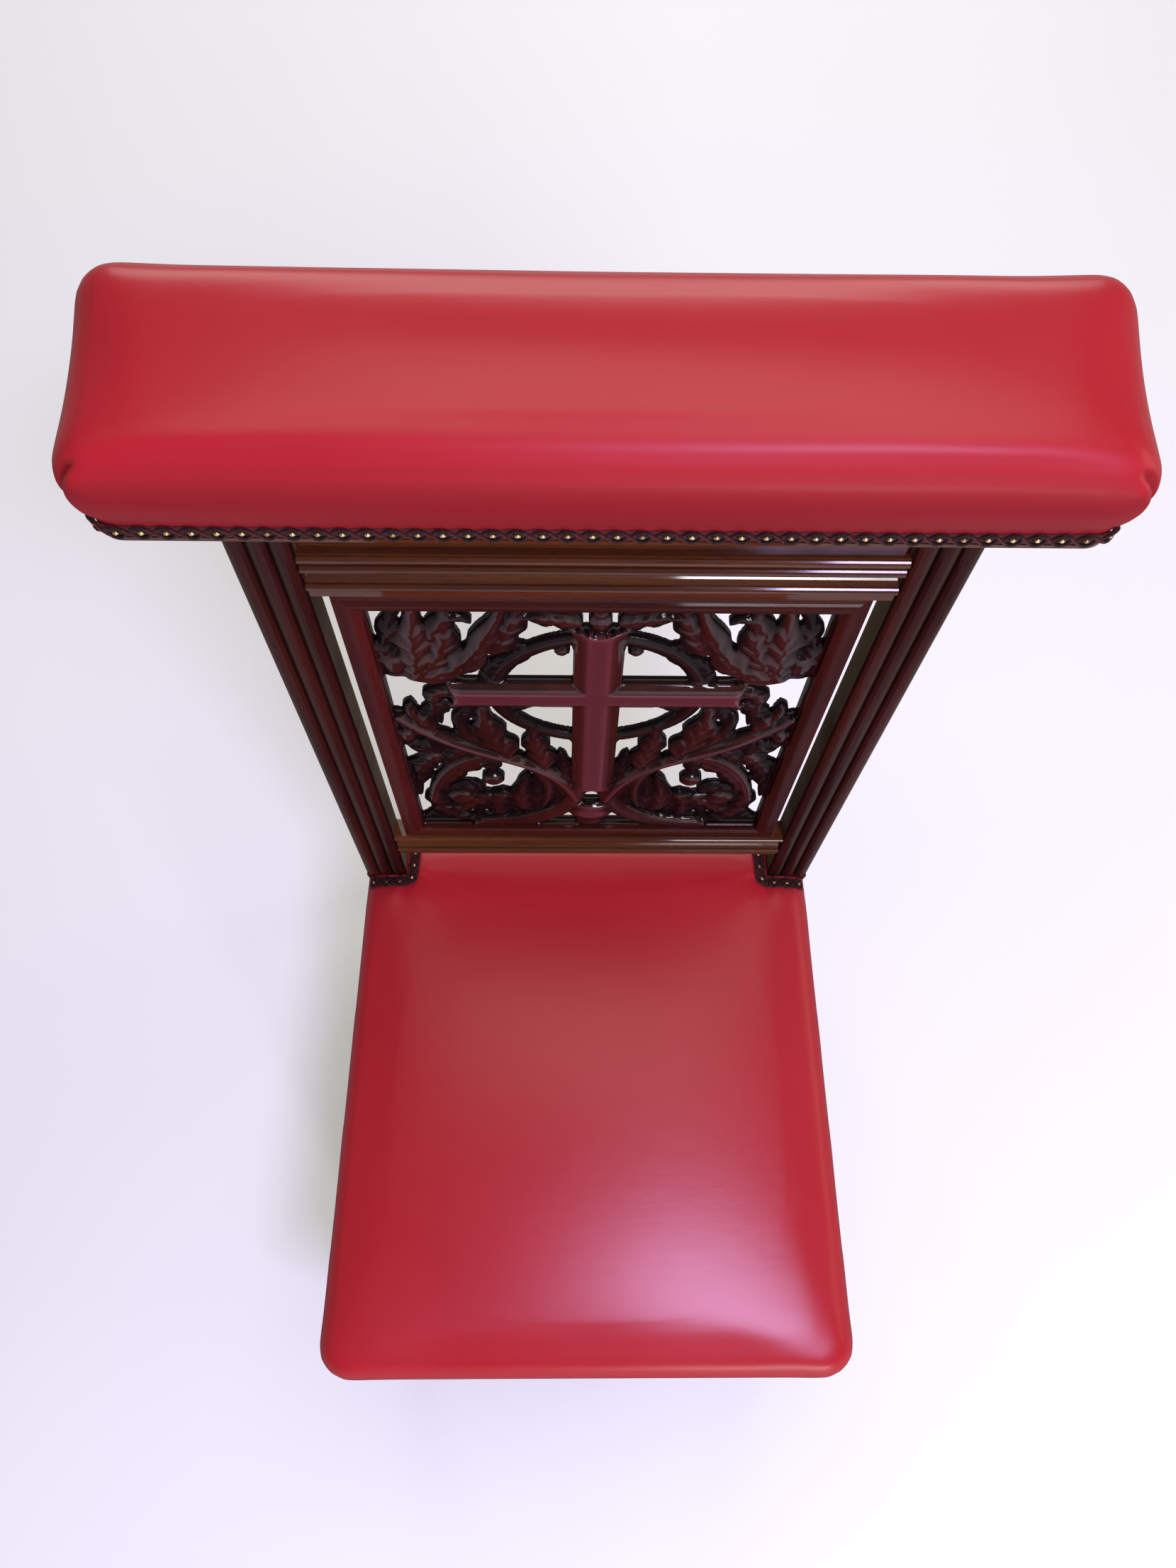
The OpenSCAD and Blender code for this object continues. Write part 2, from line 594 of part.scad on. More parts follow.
// Leaves of the left half: the curve's four points, half width and number of lobes.
// Points are shares of the panel's half width and height, widths shares of its half width.
leaf_shares = [
  // the branch from the foot of the cross and its leaves
  [[[-0.10, 0.19], [-0.24, 0.40], [-0.66, 0.36], [-0.95, 0.61]], 0.11, 0],
  [[[-0.27, 0.32], [-0.30, 0.42], [-0.36, 0.46], [-0.34, 0.55]], 0.11, 2],
  [[[-0.15, 0.28], [-0.15, 0.36], [-0.17, 0.40], [-0.19, 0.43]], 0.06, 1],
  [[[-0.43, 0.39], [-0.49, 0.46], [-0.56, 0.53], [-0.54, 0.62]], 0.12, 2],
  [[[-0.57, 0.43], [-0.64, 0.48], [-0.70, 0.53], [-0.68, 0.59]], 0.08, 1],
  [[[-0.54, 0.43], [-0.68, 0.43], [-0.76, 0.39], [-0.79, 0.33]], 0.10, 2],
  [[[-0.84, 0.52], [-0.92, 0.57], [-1.00, 0.62], [-0.90, 0.68]], 0.10, 1],
  // under the end of the cross's arm
  [[[-0.66, 0.67], [-0.80, 0.68], [-0.93, 0.66], [-1.00, 0.59]], 0.09, 2],
  [[[-0.58, 0.64], [-0.68, 0.61], [-0.72, 0.57], [-0.66, 0.53]], 0.10, 2],
  // the scroll: lower band, outer band and its leaves, inner band
  [[[-0.62, 0.01], [-0.25, 0.01], [-0.05, 0.12], [-0.10, 0.24]], 0.11, 0],
  [[[-0.38, 0.37], [-0.62, 0.42], [-0.84, 0.34], [-0.90, 0.15]], 0.08, 0],
  [[[-0.91, 0.20], [-0.96, 0.09], [-0.84, 0.01], [-0.52, 0.02]], 0.11, 3],
  [[[-0.58, 0.36], [-0.72, 0.34], [-0.80, 0.28], [-0.83, 0.19]], 0.09, 2],
  [[[-0.45, 0.37], [-0.29, 0.34], [-0.19, 0.24], [-0.27, 0.10]], 0.06, 0],
  // buds and petals in the scroll
  [[[-0.55, 0.37], [-0.55, 0.33], [-0.54, 0.28], [-0.55, 0.20]], 0.08, 1],
  [[[-0.39, 0.08], [-0.41, 0.16], [-0.40, 0.22], [-0.35, 0.30]], 0.08, 1],
  [[[-0.52, 0.20], [-0.54, 0.13], [-0.55, 0.07], [-0.50, 0.01]], 0.11, 2],
  [[[-0.55, 0.19], [-0.68, 0.13], [-0.74, 0.09], [-0.88, 0.06]], 0.10, 2],
  [[[-0.52, 0.18], [-0.68, 0.20], [-0.78, 0.21], [-0.90, 0.17]], 0.09, 2],
  // between the scroll and the frame
  [[[-0.78, 0.42], [-0.86, 0.37], [-1.01, 0.34], [-0.97, 0.22]], 0.09, 2],
  [[[-0.80, 0.45], [-0.90, 0.46], [-1.02, 0.44], [-0.97, 0.54]], 0.08, 1],
  [[[-0.84, 0.04], [-0.90, 0.05], [-0.96, 0.04], [-1.02, 0.01]], 0.07, 1],
  // over the arm: the long leaf, the tulip in the corner, the leaf beside the bud
  [[[-0.88, 0.71], [-0.56, 0.73], [-0.52, 0.86], [-0.40, 1.03]], 0.12, 3],
  [[[-0.84, 0.73], [-0.80, 0.82], [-0.87, 0.88], [-0.80, 1.04]], 0.12, 2],
  [[[-0.80, 0.74], [-0.70, 0.79], [-0.62, 0.84], [-0.63, 0.91]], 0.09, 1],
  [[[-0.86, 0.74], [-1.02, 0.77], [-1.02, 0.86], [-0.90, 0.92]], 0.10, 2],
  [[[-0.78, 0.87], [-0.71, 0.98], [-0.62, 0.99], [-0.57, 0.92]], 0.07, 1],
  [[[-0.49, 0.83], [-0.38, 0.94], [-0.26, 0.97], [-0.06, 0.95]], 0.12, 2],
  [[[-0.47, 0.70], [-0.55, 0.74], [-0.52, 0.79], [-0.44, 0.85]], 0.08, 2]];
// Round buds on the leaves: centre, then radius, as shares
bud_out = 2.4;
bud_steps = 6;
bud_shares_at = [
  [[-0.735, 0.165], 0.075], [[-0.545, 0.265], 0.06], [[-0.95, 0.49], 0.05], [[-0.845, 0.385], 0.05],
  [[-0.93, 0.795], 0.07], [[-0.50, 0.175], 0.06]];

module leaf_set() for (l = leaf_shares)
  polygon(leaf_outline([for (s = l[0]) spot(s)], l[1] * panel_hw, l[2]));
module rib_set() for (l = leaf_shares) polygon(rib_outline([for (s = l[0]) spot(s)]));
module buds() for (b = bud_shares_at) let (r = b[1] * panel_hw, c = spot(b[0]))
  translate([c[0], leaf_front + over, c[1]]) rotate([90, 0, 0]) rotate_extrude()
    polygon(concat([[0, 0]], [for (i = [0:bud_steps]) let (a = 90 * i / bud_steps)
      [i < bud_steps ? r * cos(a) : 0, over + bud_out * sin(a)]]));
module half_outline() intersection() {
  leaf_set();
  translate([-panel_hw - rim_show, panel_z - rim_show]) square([panel_hw + rim_show, panel_h + 2 * rim_show]);
}
module carved_half() {
  plate(leaf_front, carve_back) half_outline();
  plate(leaf_front - rib_out, leaf_front + over) intersection() {
    rib_set();
    translate([-panel_hw, panel_z]) square([panel_hw, panel_h]);
  }
  buds();
}
rim_in = groove_d - soft_gap;
module rim() plate(panel_in, panel_in + panel_rim_t) difference() {
  translate([-panel_hw - rim_in, panel_z - rim_in]) square([2 * (panel_hw + rim_in), panel_h + 2 * rim_in]);
  translate([-panel_hw + rim_show, panel_z + rim_show])
    square([2 * (panel_hw - rim_show), panel_h - 2 * rim_show]);
}
module carved_panel() color(mahogany) raked() intersection() {
  union() {
    cross();
    ring();
    bud_and_vase();
    rim();
    for (m = [0, 1]) mirror([m, 0, 0]) carved_half();
  }
  union() {
    translate([-panel_hw + glue_gap, carve_front - over, panel_z + glue_gap])
      cube([2 * (panel_hw - glue_gap), carving_t + 2 * over, panel_h - 2 * glue_gap]);
    translate([-panel_hw - groove_d, panel_in, panel_z - groove_d])
      cube([2 * (panel_hw + groove_d), panel_rim_t, panel_h + 2 * groove_d]);
  }
}

// Armrest board, with a small rounded lip along its lower edge

lip_h = 5;
lip_out = 1.4;
lip_round = 1;
// Rounded rectangle about the board's middle, smaller by an inset
function board_outline(inset) = let (hw = board_w / 2 - inset, hd = board_d / 2 - inset, r = board_r - inset)
  concat(
  arc_pts([hw - r, -hd + r], r, -90, 0, 10), arc_pts([hw - r, hd - r], r, 0, 90, 10),
  arc_pts([-hw + r, hd - r], r, 90, 180, 10), arc_pts([-hw + r, -hd + r], r, 180, 270, 10));
board_mid_y = board_y + board_d / 2;
module board_at(z) placed() translate([0, board_mid_y, z]) children();
board_screw_r = 2.2;
board_screw_head_r = 4.4;
board_screw_head_h = 2.6;
board_screw_l = 42;
board_screw_x_share = 0.55;
board_screw_y = board_rise * tan(rake) + (mould_face + frieze_sunk + back_face) / 2 / cos(rake);
module board_screw_set(gap) placed() at_both(board_screw_x_share * stile_in)
  translate([0, board_screw_y, board_top]) {
  translate([0, 0, -board_screw_l - gap]) cylinder(r = board_screw_r + gap, h = board_screw_l);
  translate([0, 0, -board_screw_head_h - gap])
    cylinder(r1 = board_screw_r + gap, r2 = board_screw_head_r + gap, h = board_screw_head_h);
}
module armrest_board() color(mahogany_brown) difference() {
  union() {
    board_at(board_z) linear_extrude(board_t) polygon(board_outline(0));
    board_at(board_z + lip_round) linear_extrude(lip_h - 2 * lip_round) polygon(board_outline(-lip_out));
    board_at(board_z) linear_extrude(lip_h - lip_round / 2) polygon(board_outline(-lip_out / 2));
  }
  placed() at_both(board_tenon_x) translate([0, board_tenon_y, board_z - over])
    cylinder(r = board_tenon_r + glue_gap, h = board_tenon_h + over + glue_gap);
  board_screw_set(glue_gap);
}
module armrest_board_screws() color(steel_grey) board_screw_set(0);
module armrest_gimp() color(mahogany) board_at(board_z + arm_hem_z) linear_extrude(gimp_h) difference() {
  polygon(board_outline(-leather_t - glue_gap - gimp_t));
  polygon(board_outline(-leather_t - glue_gap));
}

// Pads: closed rings of points, one above the other, joined by triangles

side_n = 8;
end_n = 4;
corner_n = 4;
function line_pts(a, b, n) = [for (i = [0:n - 1]) a + (b - a) * i / n];
function turn_pts(c, r, a0, n) = [for (i = [0:n - 1]) let (a = a0 + 90 * i / n) c + r * [cos(a), sin(a)]];
function pad_ring2(hw, hd, r) = concat(
  line_pts([-hw + r, -hd], [hw - r, -hd], side_n), turn_pts([hw - r, -hd + r], r, -90, corner_n),
  line_pts([hw, -hd + r], [hw, hd - r], end_n), turn_pts([hw - r, hd - r], r, 0, corner_n),
  line_pts([hw - r, hd], [-hw + r, hd], side_n), turn_pts([-hw + r, hd - r], r, 90, corner_n),
  line_pts([-hw, hd - r], [-hw, -hd + r], end_n), turn_pts([-hw + r, -hd + r], r, 180, corner_n));
ring_n = 2 * side_n + 2 * end_n + 4 * corner_n;
// Pulls the middle of each side inwards and leaves the corners out
function pull(p, hw, hd, d) = [
  p[0] - sign(p[0]) * d * (1 - pow(p[1] / hd, 2)) * pow(abs(p[0]) / hw, 4),
  p[1] - sign(p[1]) * d * (1 - pow(p[0] / hw, 2)) * pow(abs(p[1]) / hd, 4)];
min_turn_r = 2;
// A ring is [inset, height, drawn in, rise of the crown at the pad's middle]
function crown_at(p, hw, hd) = (1 - pow(p[0] / hw, 2)) * (1 - pow(p[1] / hd, 2));
function pad_ring(hw, hd, r, ring) = let (w = hw - ring[0], d = hd - ring[0])
  [for (p = pad_ring2(w, d, max(min_turn_r, r - ring[0]))) let (q = pull(p, w, d, ring[2]))
    [q[0], q[1], ring[1] + ring[3] * crown_at(q, hw, hd)]];
function flat(rings) = [for (r = rings) for (p = r) p];
function walls(first, count, inside) = [for (k = [0:count - 2]) for (i = [0:ring_n - 1]) let (
    a = first + k * ring_n + i, b = first + k * ring_n + (i + 1) % ring_n, c = b + ring_n, d = a + ring_n)
  each (inside ? [[a, b, c], [a, c, d]] : [[a, d, c], [a, c, b]])];
function fan(first, pole, up) = [for (i = [0:ring_n - 1]) let (a = first + i, b = first + (i + 1) % ring_n)
  up ? [a, pole, b] : [a, b, pole]];

// A solid pad with a flat underside
module solid_pad(rings, top, bottom) {
  n = len(rings);
  polyhedron(
    points = concat(flat(rings), [top], [bottom]),
    faces = concat(
      walls(0, n, false), fan((n - 1) * ring_n, n * ring_n, true), fan(0, n * ring_n + 1, false)));
}
// A leather cover: an outer skin and an inner one, joined along the hem
module cover(outer, outer_top, inner, inner_top) {
  n = len(outer);
  m = len(inner);
  start = n * ring_n + 1;
  polyhedron(
    points = concat(flat(outer), [outer_top], flat(inner), [inner_top]),
    faces = concat(
      walls(0, n, false), fan((n - 1) * ring_n, n * ring_n, true),
      walls(start, m, true), fan(start + (m - 1) * ring_n, start + m * ring_n, false),
      [for (i = [0:ring_n - 1]) let (j = (i + 1) % ring_n)
        each [[i, j, start + j], [i, start + j, start + i]]]));
}
roll_n = 4;
crown_n = 4;
// Rings over a rolled edge of radius r that ends at height z, then over the crown to an inset of reach
function rolled(first, r, z, d, rise) = [for (i = [0:roll_n]) let (a = 90 * i / roll_n)
  [first + r * (1 - cos(a)), z - r * (1 - sin(a)), d * cos(a), rise * sin(a)]];
function crowned(first, z, rise, reach) = [for (i = [1:crown_n])
  [first + (reach - first) * i / (crown_n + 1), z, 0, rise]];

// Armrest pad
arm_hw = board_w / 2 + arm_out;
arm_hd = board_d / 2 + arm_out;
arm_r = board_r + arm_out;
arm_edge_z = arm_pad_h + board_t - arm_crown;
arm_hem_z = lip_h + soft_gap;
arm_reach = arm_hd - min_turn_r;
arm_waist_share = 0.2;
arm_swell_share = 0.385;
arm_waist_z = board_t + arm_waist_share * arm_pad_h;
arm_swell_z = board_t + arm_swell_share * arm_pad_h;
arm_waist = arm_swell / 4;
// The pad's surface at a depth t inside the leather's face, above the board
function arm_skin(t) = concat(
  [[arm_waist + t, arm_waist_z, drawn_in / 2, 0], [t, arm_swell_z, drawn_in, 0]],
  rolled(t, arm_edge_r - t, arm_edge_z - t, drawn_in, arm_crown),
  crowned(arm_edge_r, arm_edge_z - t, arm_crown, arm_reach));
arm_outer = concat([[arm_swell, arm_hem_z, 0, 0], [arm_swell, board_t, 0, 0]], arm_skin(0));
arm_inner = concat(
  [[arm_out - glue_gap, arm_hem_z, 0, 0], [arm_out - glue_gap, board_t, 0, 0]], arm_skin(leather_t));
arm_top = arm_edge_z + arm_crown;
arm_fill = concat([[arm_out + glue_gap, board_t + glue_gap, 0, 0]], arm_skin(leather_t + glue_gap));
function arm_rings(list) = [for (r = list) pad_ring(arm_hw, arm_hd, arm_r, r)];
module armrest_leather() color(leather_red) board_at(board_z)
  cover(arm_rings(arm_outer), [0, 0, arm_top], arm_rings(arm_inner), [0, 0, arm_top - leather_t]);
module armrest_stuffing() color(jute) board_at(board_z)
  solid_pad(arm_rings(arm_fill), [0, 0, arm_top - leather_t - glue_gap], [0, 0, board_t + glue_gap]);

// Seat pad, wider in front, cut away round the stiles
seat_hd = (seat_d + seat_back_y) / 2;
seat_mid_y = (seat_back_y - seat_d) / 2;
seat_mid_hw = seat_hw(seat_mid_y);
function taper(p) = [p[0] * seat_hw(p[1] + seat_mid_y) / seat_mid_hw, p[1] + seat_mid_y, p[2]];
function seat_rings(list) = [for (r = list)
  [for (p = pad_ring(seat_mid_hw, seat_hd, seat_corner_r, r)) taper(p)]];
seat_top = seat_h + seat_crown;
seat_reach = seat_mid_hw - 5 * seat_edge_r;
hem_in = gimp_t + soft_gap;
wall_z = rail_top - rail_h / 5;
// The pad's surface at a depth t inside the leather's face, above the rails
function seat_skin(t) = concat(
  rolled(t, seat_edge_r - t, seat_h - t, drawn_in, seat_crown),
  crowned(seat_edge_r, seat_h - t, seat_crown, seat_reach));
seat_outer = concat(
  [[hem_in, hem_z, 0, 0], [hem_in, hem_z + gimp_h + over, 0, 0], [0, wall_z, 0, 0]], seat_skin(0));
seat_inner = concat(
  [[side_pad - glue_gap, hem_z, 0, 0], [side_pad - glue_gap, rail_top, 0, 0]], seat_skin(leather_t));
seat_fill_z = rail_top + hessian_t + glue_gap;
seat_fill = concat([[side_pad + glue_gap, seat_fill_z, 0, 0]], seat_skin(leather_t + glue_gap));
module stile_notches(gap) at_both(stile_in + back_w / 2 - gap)
  translate([-back_w / 2, -gap, rail_bottom - hem_up]) cube([back_w, seat_back_y * 2, seat_h]);
module seat_leather() color(leather_red) placed() difference() {
  cover(
    seat_rings(seat_outer), [0, seat_mid_y, seat_top],
    seat_rings(seat_inner), [0, seat_mid_y, seat_top - leather_t]);
  stile_notches(soft_gap);
}
module seat_stuffing() color(jute) placed() difference() {
  solid_pad(
    seat_rings(seat_fill), [0, seat_mid_y, seat_top - leather_t - glue_gap], [0, seat_mid_y, seat_fill_z]);
  stile_notches(soft_gap);
}
// Front and sides of the seat's lower edge, from stile to stile
function hem_line(inset) = let (r = seat_corner_r - inset, w = seat_mid_hw - inset)
  [for (p = concat(
      [[w, -soft_gap]],
      arc_pts([w - r, -seat_d + inset + r], r, 0, -90, 2 * corner_n),
      arc_pts([-w + r, -seat_d + inset + r], r, -90, -180, 2 * corner_n),
      [[-w, -soft_gap]])) [p[0] * seat_hw(p[1]) / seat_mid_hw, p[1]]];
module seat_gimp() color(mahogany) placed() translate([0, 0, hem_z]) linear_extrude(gimp_h)
  polygon(concat(hem_line(0), flip(hem_line(gimp_t))));

// Under the seat

web_n = 4;
web_in = 4;
web_span = 2 * (stile_in - web_w / 2);
function web_place(k, span) = span * ((k + 0.5) / web_n - 0.5);
module webbing_lengthwise() color(jute) placed() for (k = [0:web_n - 1])
  translate([web_place(k, web_span) - web_w / 2, front_y + web_in, rail_bottom - web_t])
    cube([web_w, back_rail_y1 - front_y - 2 * web_in, web_t]);
module webbing_crosswise() color(jute) placed() for (k = [0:web_n - 1])
  let (y = (leg_back_y + web_w / 2) / 2 + web_place(k, -leg_back_y - web_w / 2), hw = side_back_x - web_in)
    translate([-hw, y - web_w / 2, rail_bottom - 2 * web_t - glue_gap]) cube([2 * hw, web_w, web_t]);
hessian_in = 4;
hessian_outline = [
  [stile_in - hessian_in, back_rail_y1 - hessian_in], [stile_in - hessian_in, -soft_gap],
  [side_back_x - hessian_in, -soft_gap], [leg_out - hessian_in, leg_back_y],
  [leg_out - hessian_in, front_y + leg_corner_r], [leg_out - leg_corner_r, front_y + hessian_in]];
module spring_hessian() color(jute) placed() translate([0, 0, rail_top]) linear_extrude(hessian_t)
  polygon(concat(hessian_outline, [for (p = flip(hessian_outline)) [-p[0], p[1]]]));

// Springs: waisted coils, one unbroken wire each
spring_turns = 5;
spring_rings = 8;
spring_sides = 6;
spring_h = rail_h - hessian_t;
spring_spread_share = 0.45;
spring_places = concat([[0, seat_mid_y]], [for (x = [-1, 1]) for (y = [-1, 1])
  [x * spring_spread_share * seat_mid_hw, seat_mid_y + y * spring_spread_share * seat_mid_hw]]);
function spring_t(i) = i / (spring_turns * spring_rings);
// Height along the wire: the end turns lie flatter than the middle ones
function spring_z(t) = spring_wire_d / 2 + glue_gap
  + (spring_h - spring_wire_d - 2 * glue_gap) * (t - sin(360 * t) / 12);
function spring_radius(t) =
  spring_waist_r + (spring_end_r - spring_waist_r) * pow(2 * t - 1, 2) - spring_wire_d / 2;
function spring_mid(i) = let (t = spring_t(i), a = 360 * i / spring_rings)
  [spring_radius(t) * cos(a), spring_radius(t) * sin(a), spring_z(t)];
function spring_ring(i) = let (a = 360 * i / spring_rings, m = spring_mid(i)) [for (k = [0:spring_sides - 1])
  let (b = 360 * k / spring_sides)
  m + spring_wire_d / 2 * [cos(b) * cos(a), cos(b) * sin(a), sin(b)]];
spring_last = spring_turns * spring_rings;
spring_faces = concat(
  [for (i = [0:spring_last - 1]) for (k = [0:spring_sides - 1]) let (
      a = i * spring_sides + k, b = i * spring_sides + (k + 1) % spring_sides,
      c = b + spring_sides, d = a + spring_sides)
    each [[a, b, c], [a, c, d]]],
  [for (k = [1:spring_sides - 2]) [0, k + 1, k]],
  [for (k = [1:spring_sides - 2]) let (s = spring_last * spring_sides) [s, s + k, s + k + 1]]);
spring_self_gap = min([for (i = [0:spring_last]) for (j = [i + spring_rings / 2:spring_last])
  norm(spring_mid(i) - spring_mid(j))]) - spring_wire_d;
module seat_springs() color(steel_grey) placed() {
  echo(least_gap_between_turns = spring_self_gap);
  for (p = spring_places) translate([p[0], p[1], rail_bottom])
    polyhedron(points = flat([for (i = [0:spring_last]) spring_ring(i)]), faces = spring_faces);
}

stile_left();
stile_right();
front_leg_left();
front_leg_right();
seat_rail_front();
seat_rail_back();
seat_rail_left();
seat_rail_right();
corner_blocks();
corner_block_screws();
frieze_rail();
lower_back_rail();
panel_frame_top();
panel_frame_bottom();
panel_frame_left();
panel_frame_right();
panel_frame_dowels();
carved_panel();
armrest_board();
armrest_board_screws();
armrest_stuffing();
armrest_leather();
armrest_gimp();
webbing_lengthwise();
webbing_crosswise();
seat_springs();
spring_hessian();
seat_stuffing();
seat_leather();
seat_gimp();
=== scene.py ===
import bpy
import numpy as np
from mathutils import Matrix, Vector
from mathutils.bvhtree import BVHTree


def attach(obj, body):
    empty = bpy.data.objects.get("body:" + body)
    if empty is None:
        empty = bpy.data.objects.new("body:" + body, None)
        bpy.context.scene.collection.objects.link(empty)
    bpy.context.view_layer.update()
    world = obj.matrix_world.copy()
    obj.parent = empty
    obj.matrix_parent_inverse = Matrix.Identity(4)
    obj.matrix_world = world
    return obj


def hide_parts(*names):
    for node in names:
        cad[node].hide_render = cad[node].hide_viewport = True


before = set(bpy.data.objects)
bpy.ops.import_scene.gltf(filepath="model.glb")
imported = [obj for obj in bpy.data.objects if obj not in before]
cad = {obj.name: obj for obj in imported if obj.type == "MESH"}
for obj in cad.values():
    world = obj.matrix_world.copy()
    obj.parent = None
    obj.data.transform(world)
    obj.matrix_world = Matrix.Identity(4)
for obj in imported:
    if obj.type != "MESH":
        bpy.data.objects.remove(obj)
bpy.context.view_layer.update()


# Stiles: two uprights of mahogany, each one piece with its back leg, leaning back from the seat up.
# Three reeds are worked along the front. Old french polish has gone dull on the sides. Painted khaki reflection
# colours the side faces and the reeds' outer flanks, and painted shade darkens their inner flanks and the grooves.

# Lean of the back, height and face of the stiles where they leave the seat, and the reeds' inner edge and width
RAKE = np.radians(7.4)
SEAT_Z = 0.312
BACK_Y = 0.120354
REEDS_FROM, REED_W = 0.160, 0.035 / 3
# Painted colours of the wood: khaki reflection on the reeds' outer flanks and on side faces, a rosy sheen on the
# carving's nearest faces, and near-black shade in its hollows
KHAKI_REFLECTION = (0.055, 0.036, 0.021)
SIDE_REFLECTION, PALE_SIDE_REFLECTION = (0.050, 0.034, 0.020), (0.110, 0.082, 0.050)
ROSY_SHEEN, RECESS_SHADE = (0.120, 0.024, 0.030), (0.004, 0.002, 0.002)


class Value:
    """A shader socket that takes part in sums: each operator adds its Math node."""

    def __init__(self, shade, socket):
        self.shade = shade
        self.socket = socket

    def math(self, operation, *values):
        return self.shade.node("ShaderNodeMath", list(values), operation=operation)

    def __add__(self, other):
        return self.math("ADD", self, other)

    def __radd__(self, other):
        return self.math("ADD", other, self)

    def __sub__(self, other):
        return self.math("SUBTRACT", self, other)

    def __rsub__(self, other):
        return self.math("SUBTRACT", other, self)

    def __mul__(self, other):
        return self.math("MULTIPLY", self, other)

    def __rmul__(self, other):
        return self.math("MULTIPLY", other, self)

    def __abs__(self):
        return self.math("ABSOLUTE", self)

    def power(self, exponent):
        return self.math("POWER", self, exponent)

    def wave(self, turns):
        """Sine of the value times 2 pi times turns, from -1 to 1."""
        return self.math("SINE", self * (2 * np.pi * turns))

    def between(self, low, high):
        """0 below low, 1 above high, smooth between."""
        return self.shade.node(
            "ShaderNodeMapRange", {"Value": self, "From Min": low, "From Max": high}, interpolation_type="SMOOTHSTEP")


class Shade:
    """One material, as a tree of nodes round its Principled BSDF."""

    def __init__(self, name, **constants):
        self.material = bpy.data.materials.new(name)
        self.material.use_nodes = True
        self.tree = self.material.node_tree
        self.bsdf = self.tree.nodes["Principled BSDF"]
        for key, value in constants.items():
            self.bsdf.inputs[key.replace("_", " ")].default_value = value

    def node(self, kind, sockets=(), output=0, **settings):
        """Adds a node: its settings first, then what its sockets hold or are linked to."""
        made = self.tree.nodes.new(kind)
        for key, value in settings.items():
            setattr(made, key, value)
        named = sockets.items() if isinstance(sockets, dict) else enumerate(sockets)
        for key, value in named:
            self.feed(made.inputs[key], value)
        return Value(self, made.outputs[output])

    def feed(self, socket, value):
        if isinstance(value, Value):
            self.tree.links.new(value.socket, socket)
        else:
            socket.default_value = value

    def set(self, **inputs):
        """Feeds the BSDF's sockets and returns the finished material."""
        for key, value in inputs.items():
            self.feed(self.bsdf.inputs[key.replace("_", " ")], value)
        return self.material

    def place(self, scale=(1, 1, 1), turn=(0, 0, 0)):
        """Object coordinates, turned and then scaled."""
        turned = self.node("ShaderNodeMapping", {
            "Vector": self.node("ShaderNodeTexCoord", output="Object"), "Rotation": turn})
        return self.node("ShaderNodeVectorMath", [turned, scale], operation="MULTIPLY")

    def noise(self, scale, detail, rough, turn=(0, 0, 0)):
        """Soft noise from 0 to 1. Its scale, one number or one for each axis, says how many waves go to a metre."""
        place = self.place(np.broadcast_to(scale, 3).tolist(), turn)
        return self.node("ShaderNodeTexNoise", {"Vector": place, "Scale": 1.0, "Detail": detail, "Roughness": rough})

    def mix(self, share, first, second):
        """Colour from first to second as share goes from 0 to 1."""
        full = [c if isinstance(c, Value) else (*c, 1) for c in (first, second)]
        return self.node("ShaderNodeMix", {"Factor": share, 6: full[0], 7: full[1]}, output=2, data_type="RGBA")

    def parts(self, vector):
        """The three parts of a vector, x, y and z."""
        first = self.node("ShaderNodeSeparateXYZ", [vector])
        return [Value(self, socket) for socket in first.socket.node.outputs]

    def bump(self, height, distance, strength, onto=None):
        """Normal of a surface raised by height times distance in metres, on top of another normal."""
        sockets = {"Height": height, "Distance": distance, "Strength": strength}
        if onto is not None:
            sockets["Normal"] = onto
        return self.node("ShaderNodeBump", sockets)

    def attribute(self, name):
        return self.node("ShaderNodeAttribute", output="Fac", attribute_name=name)


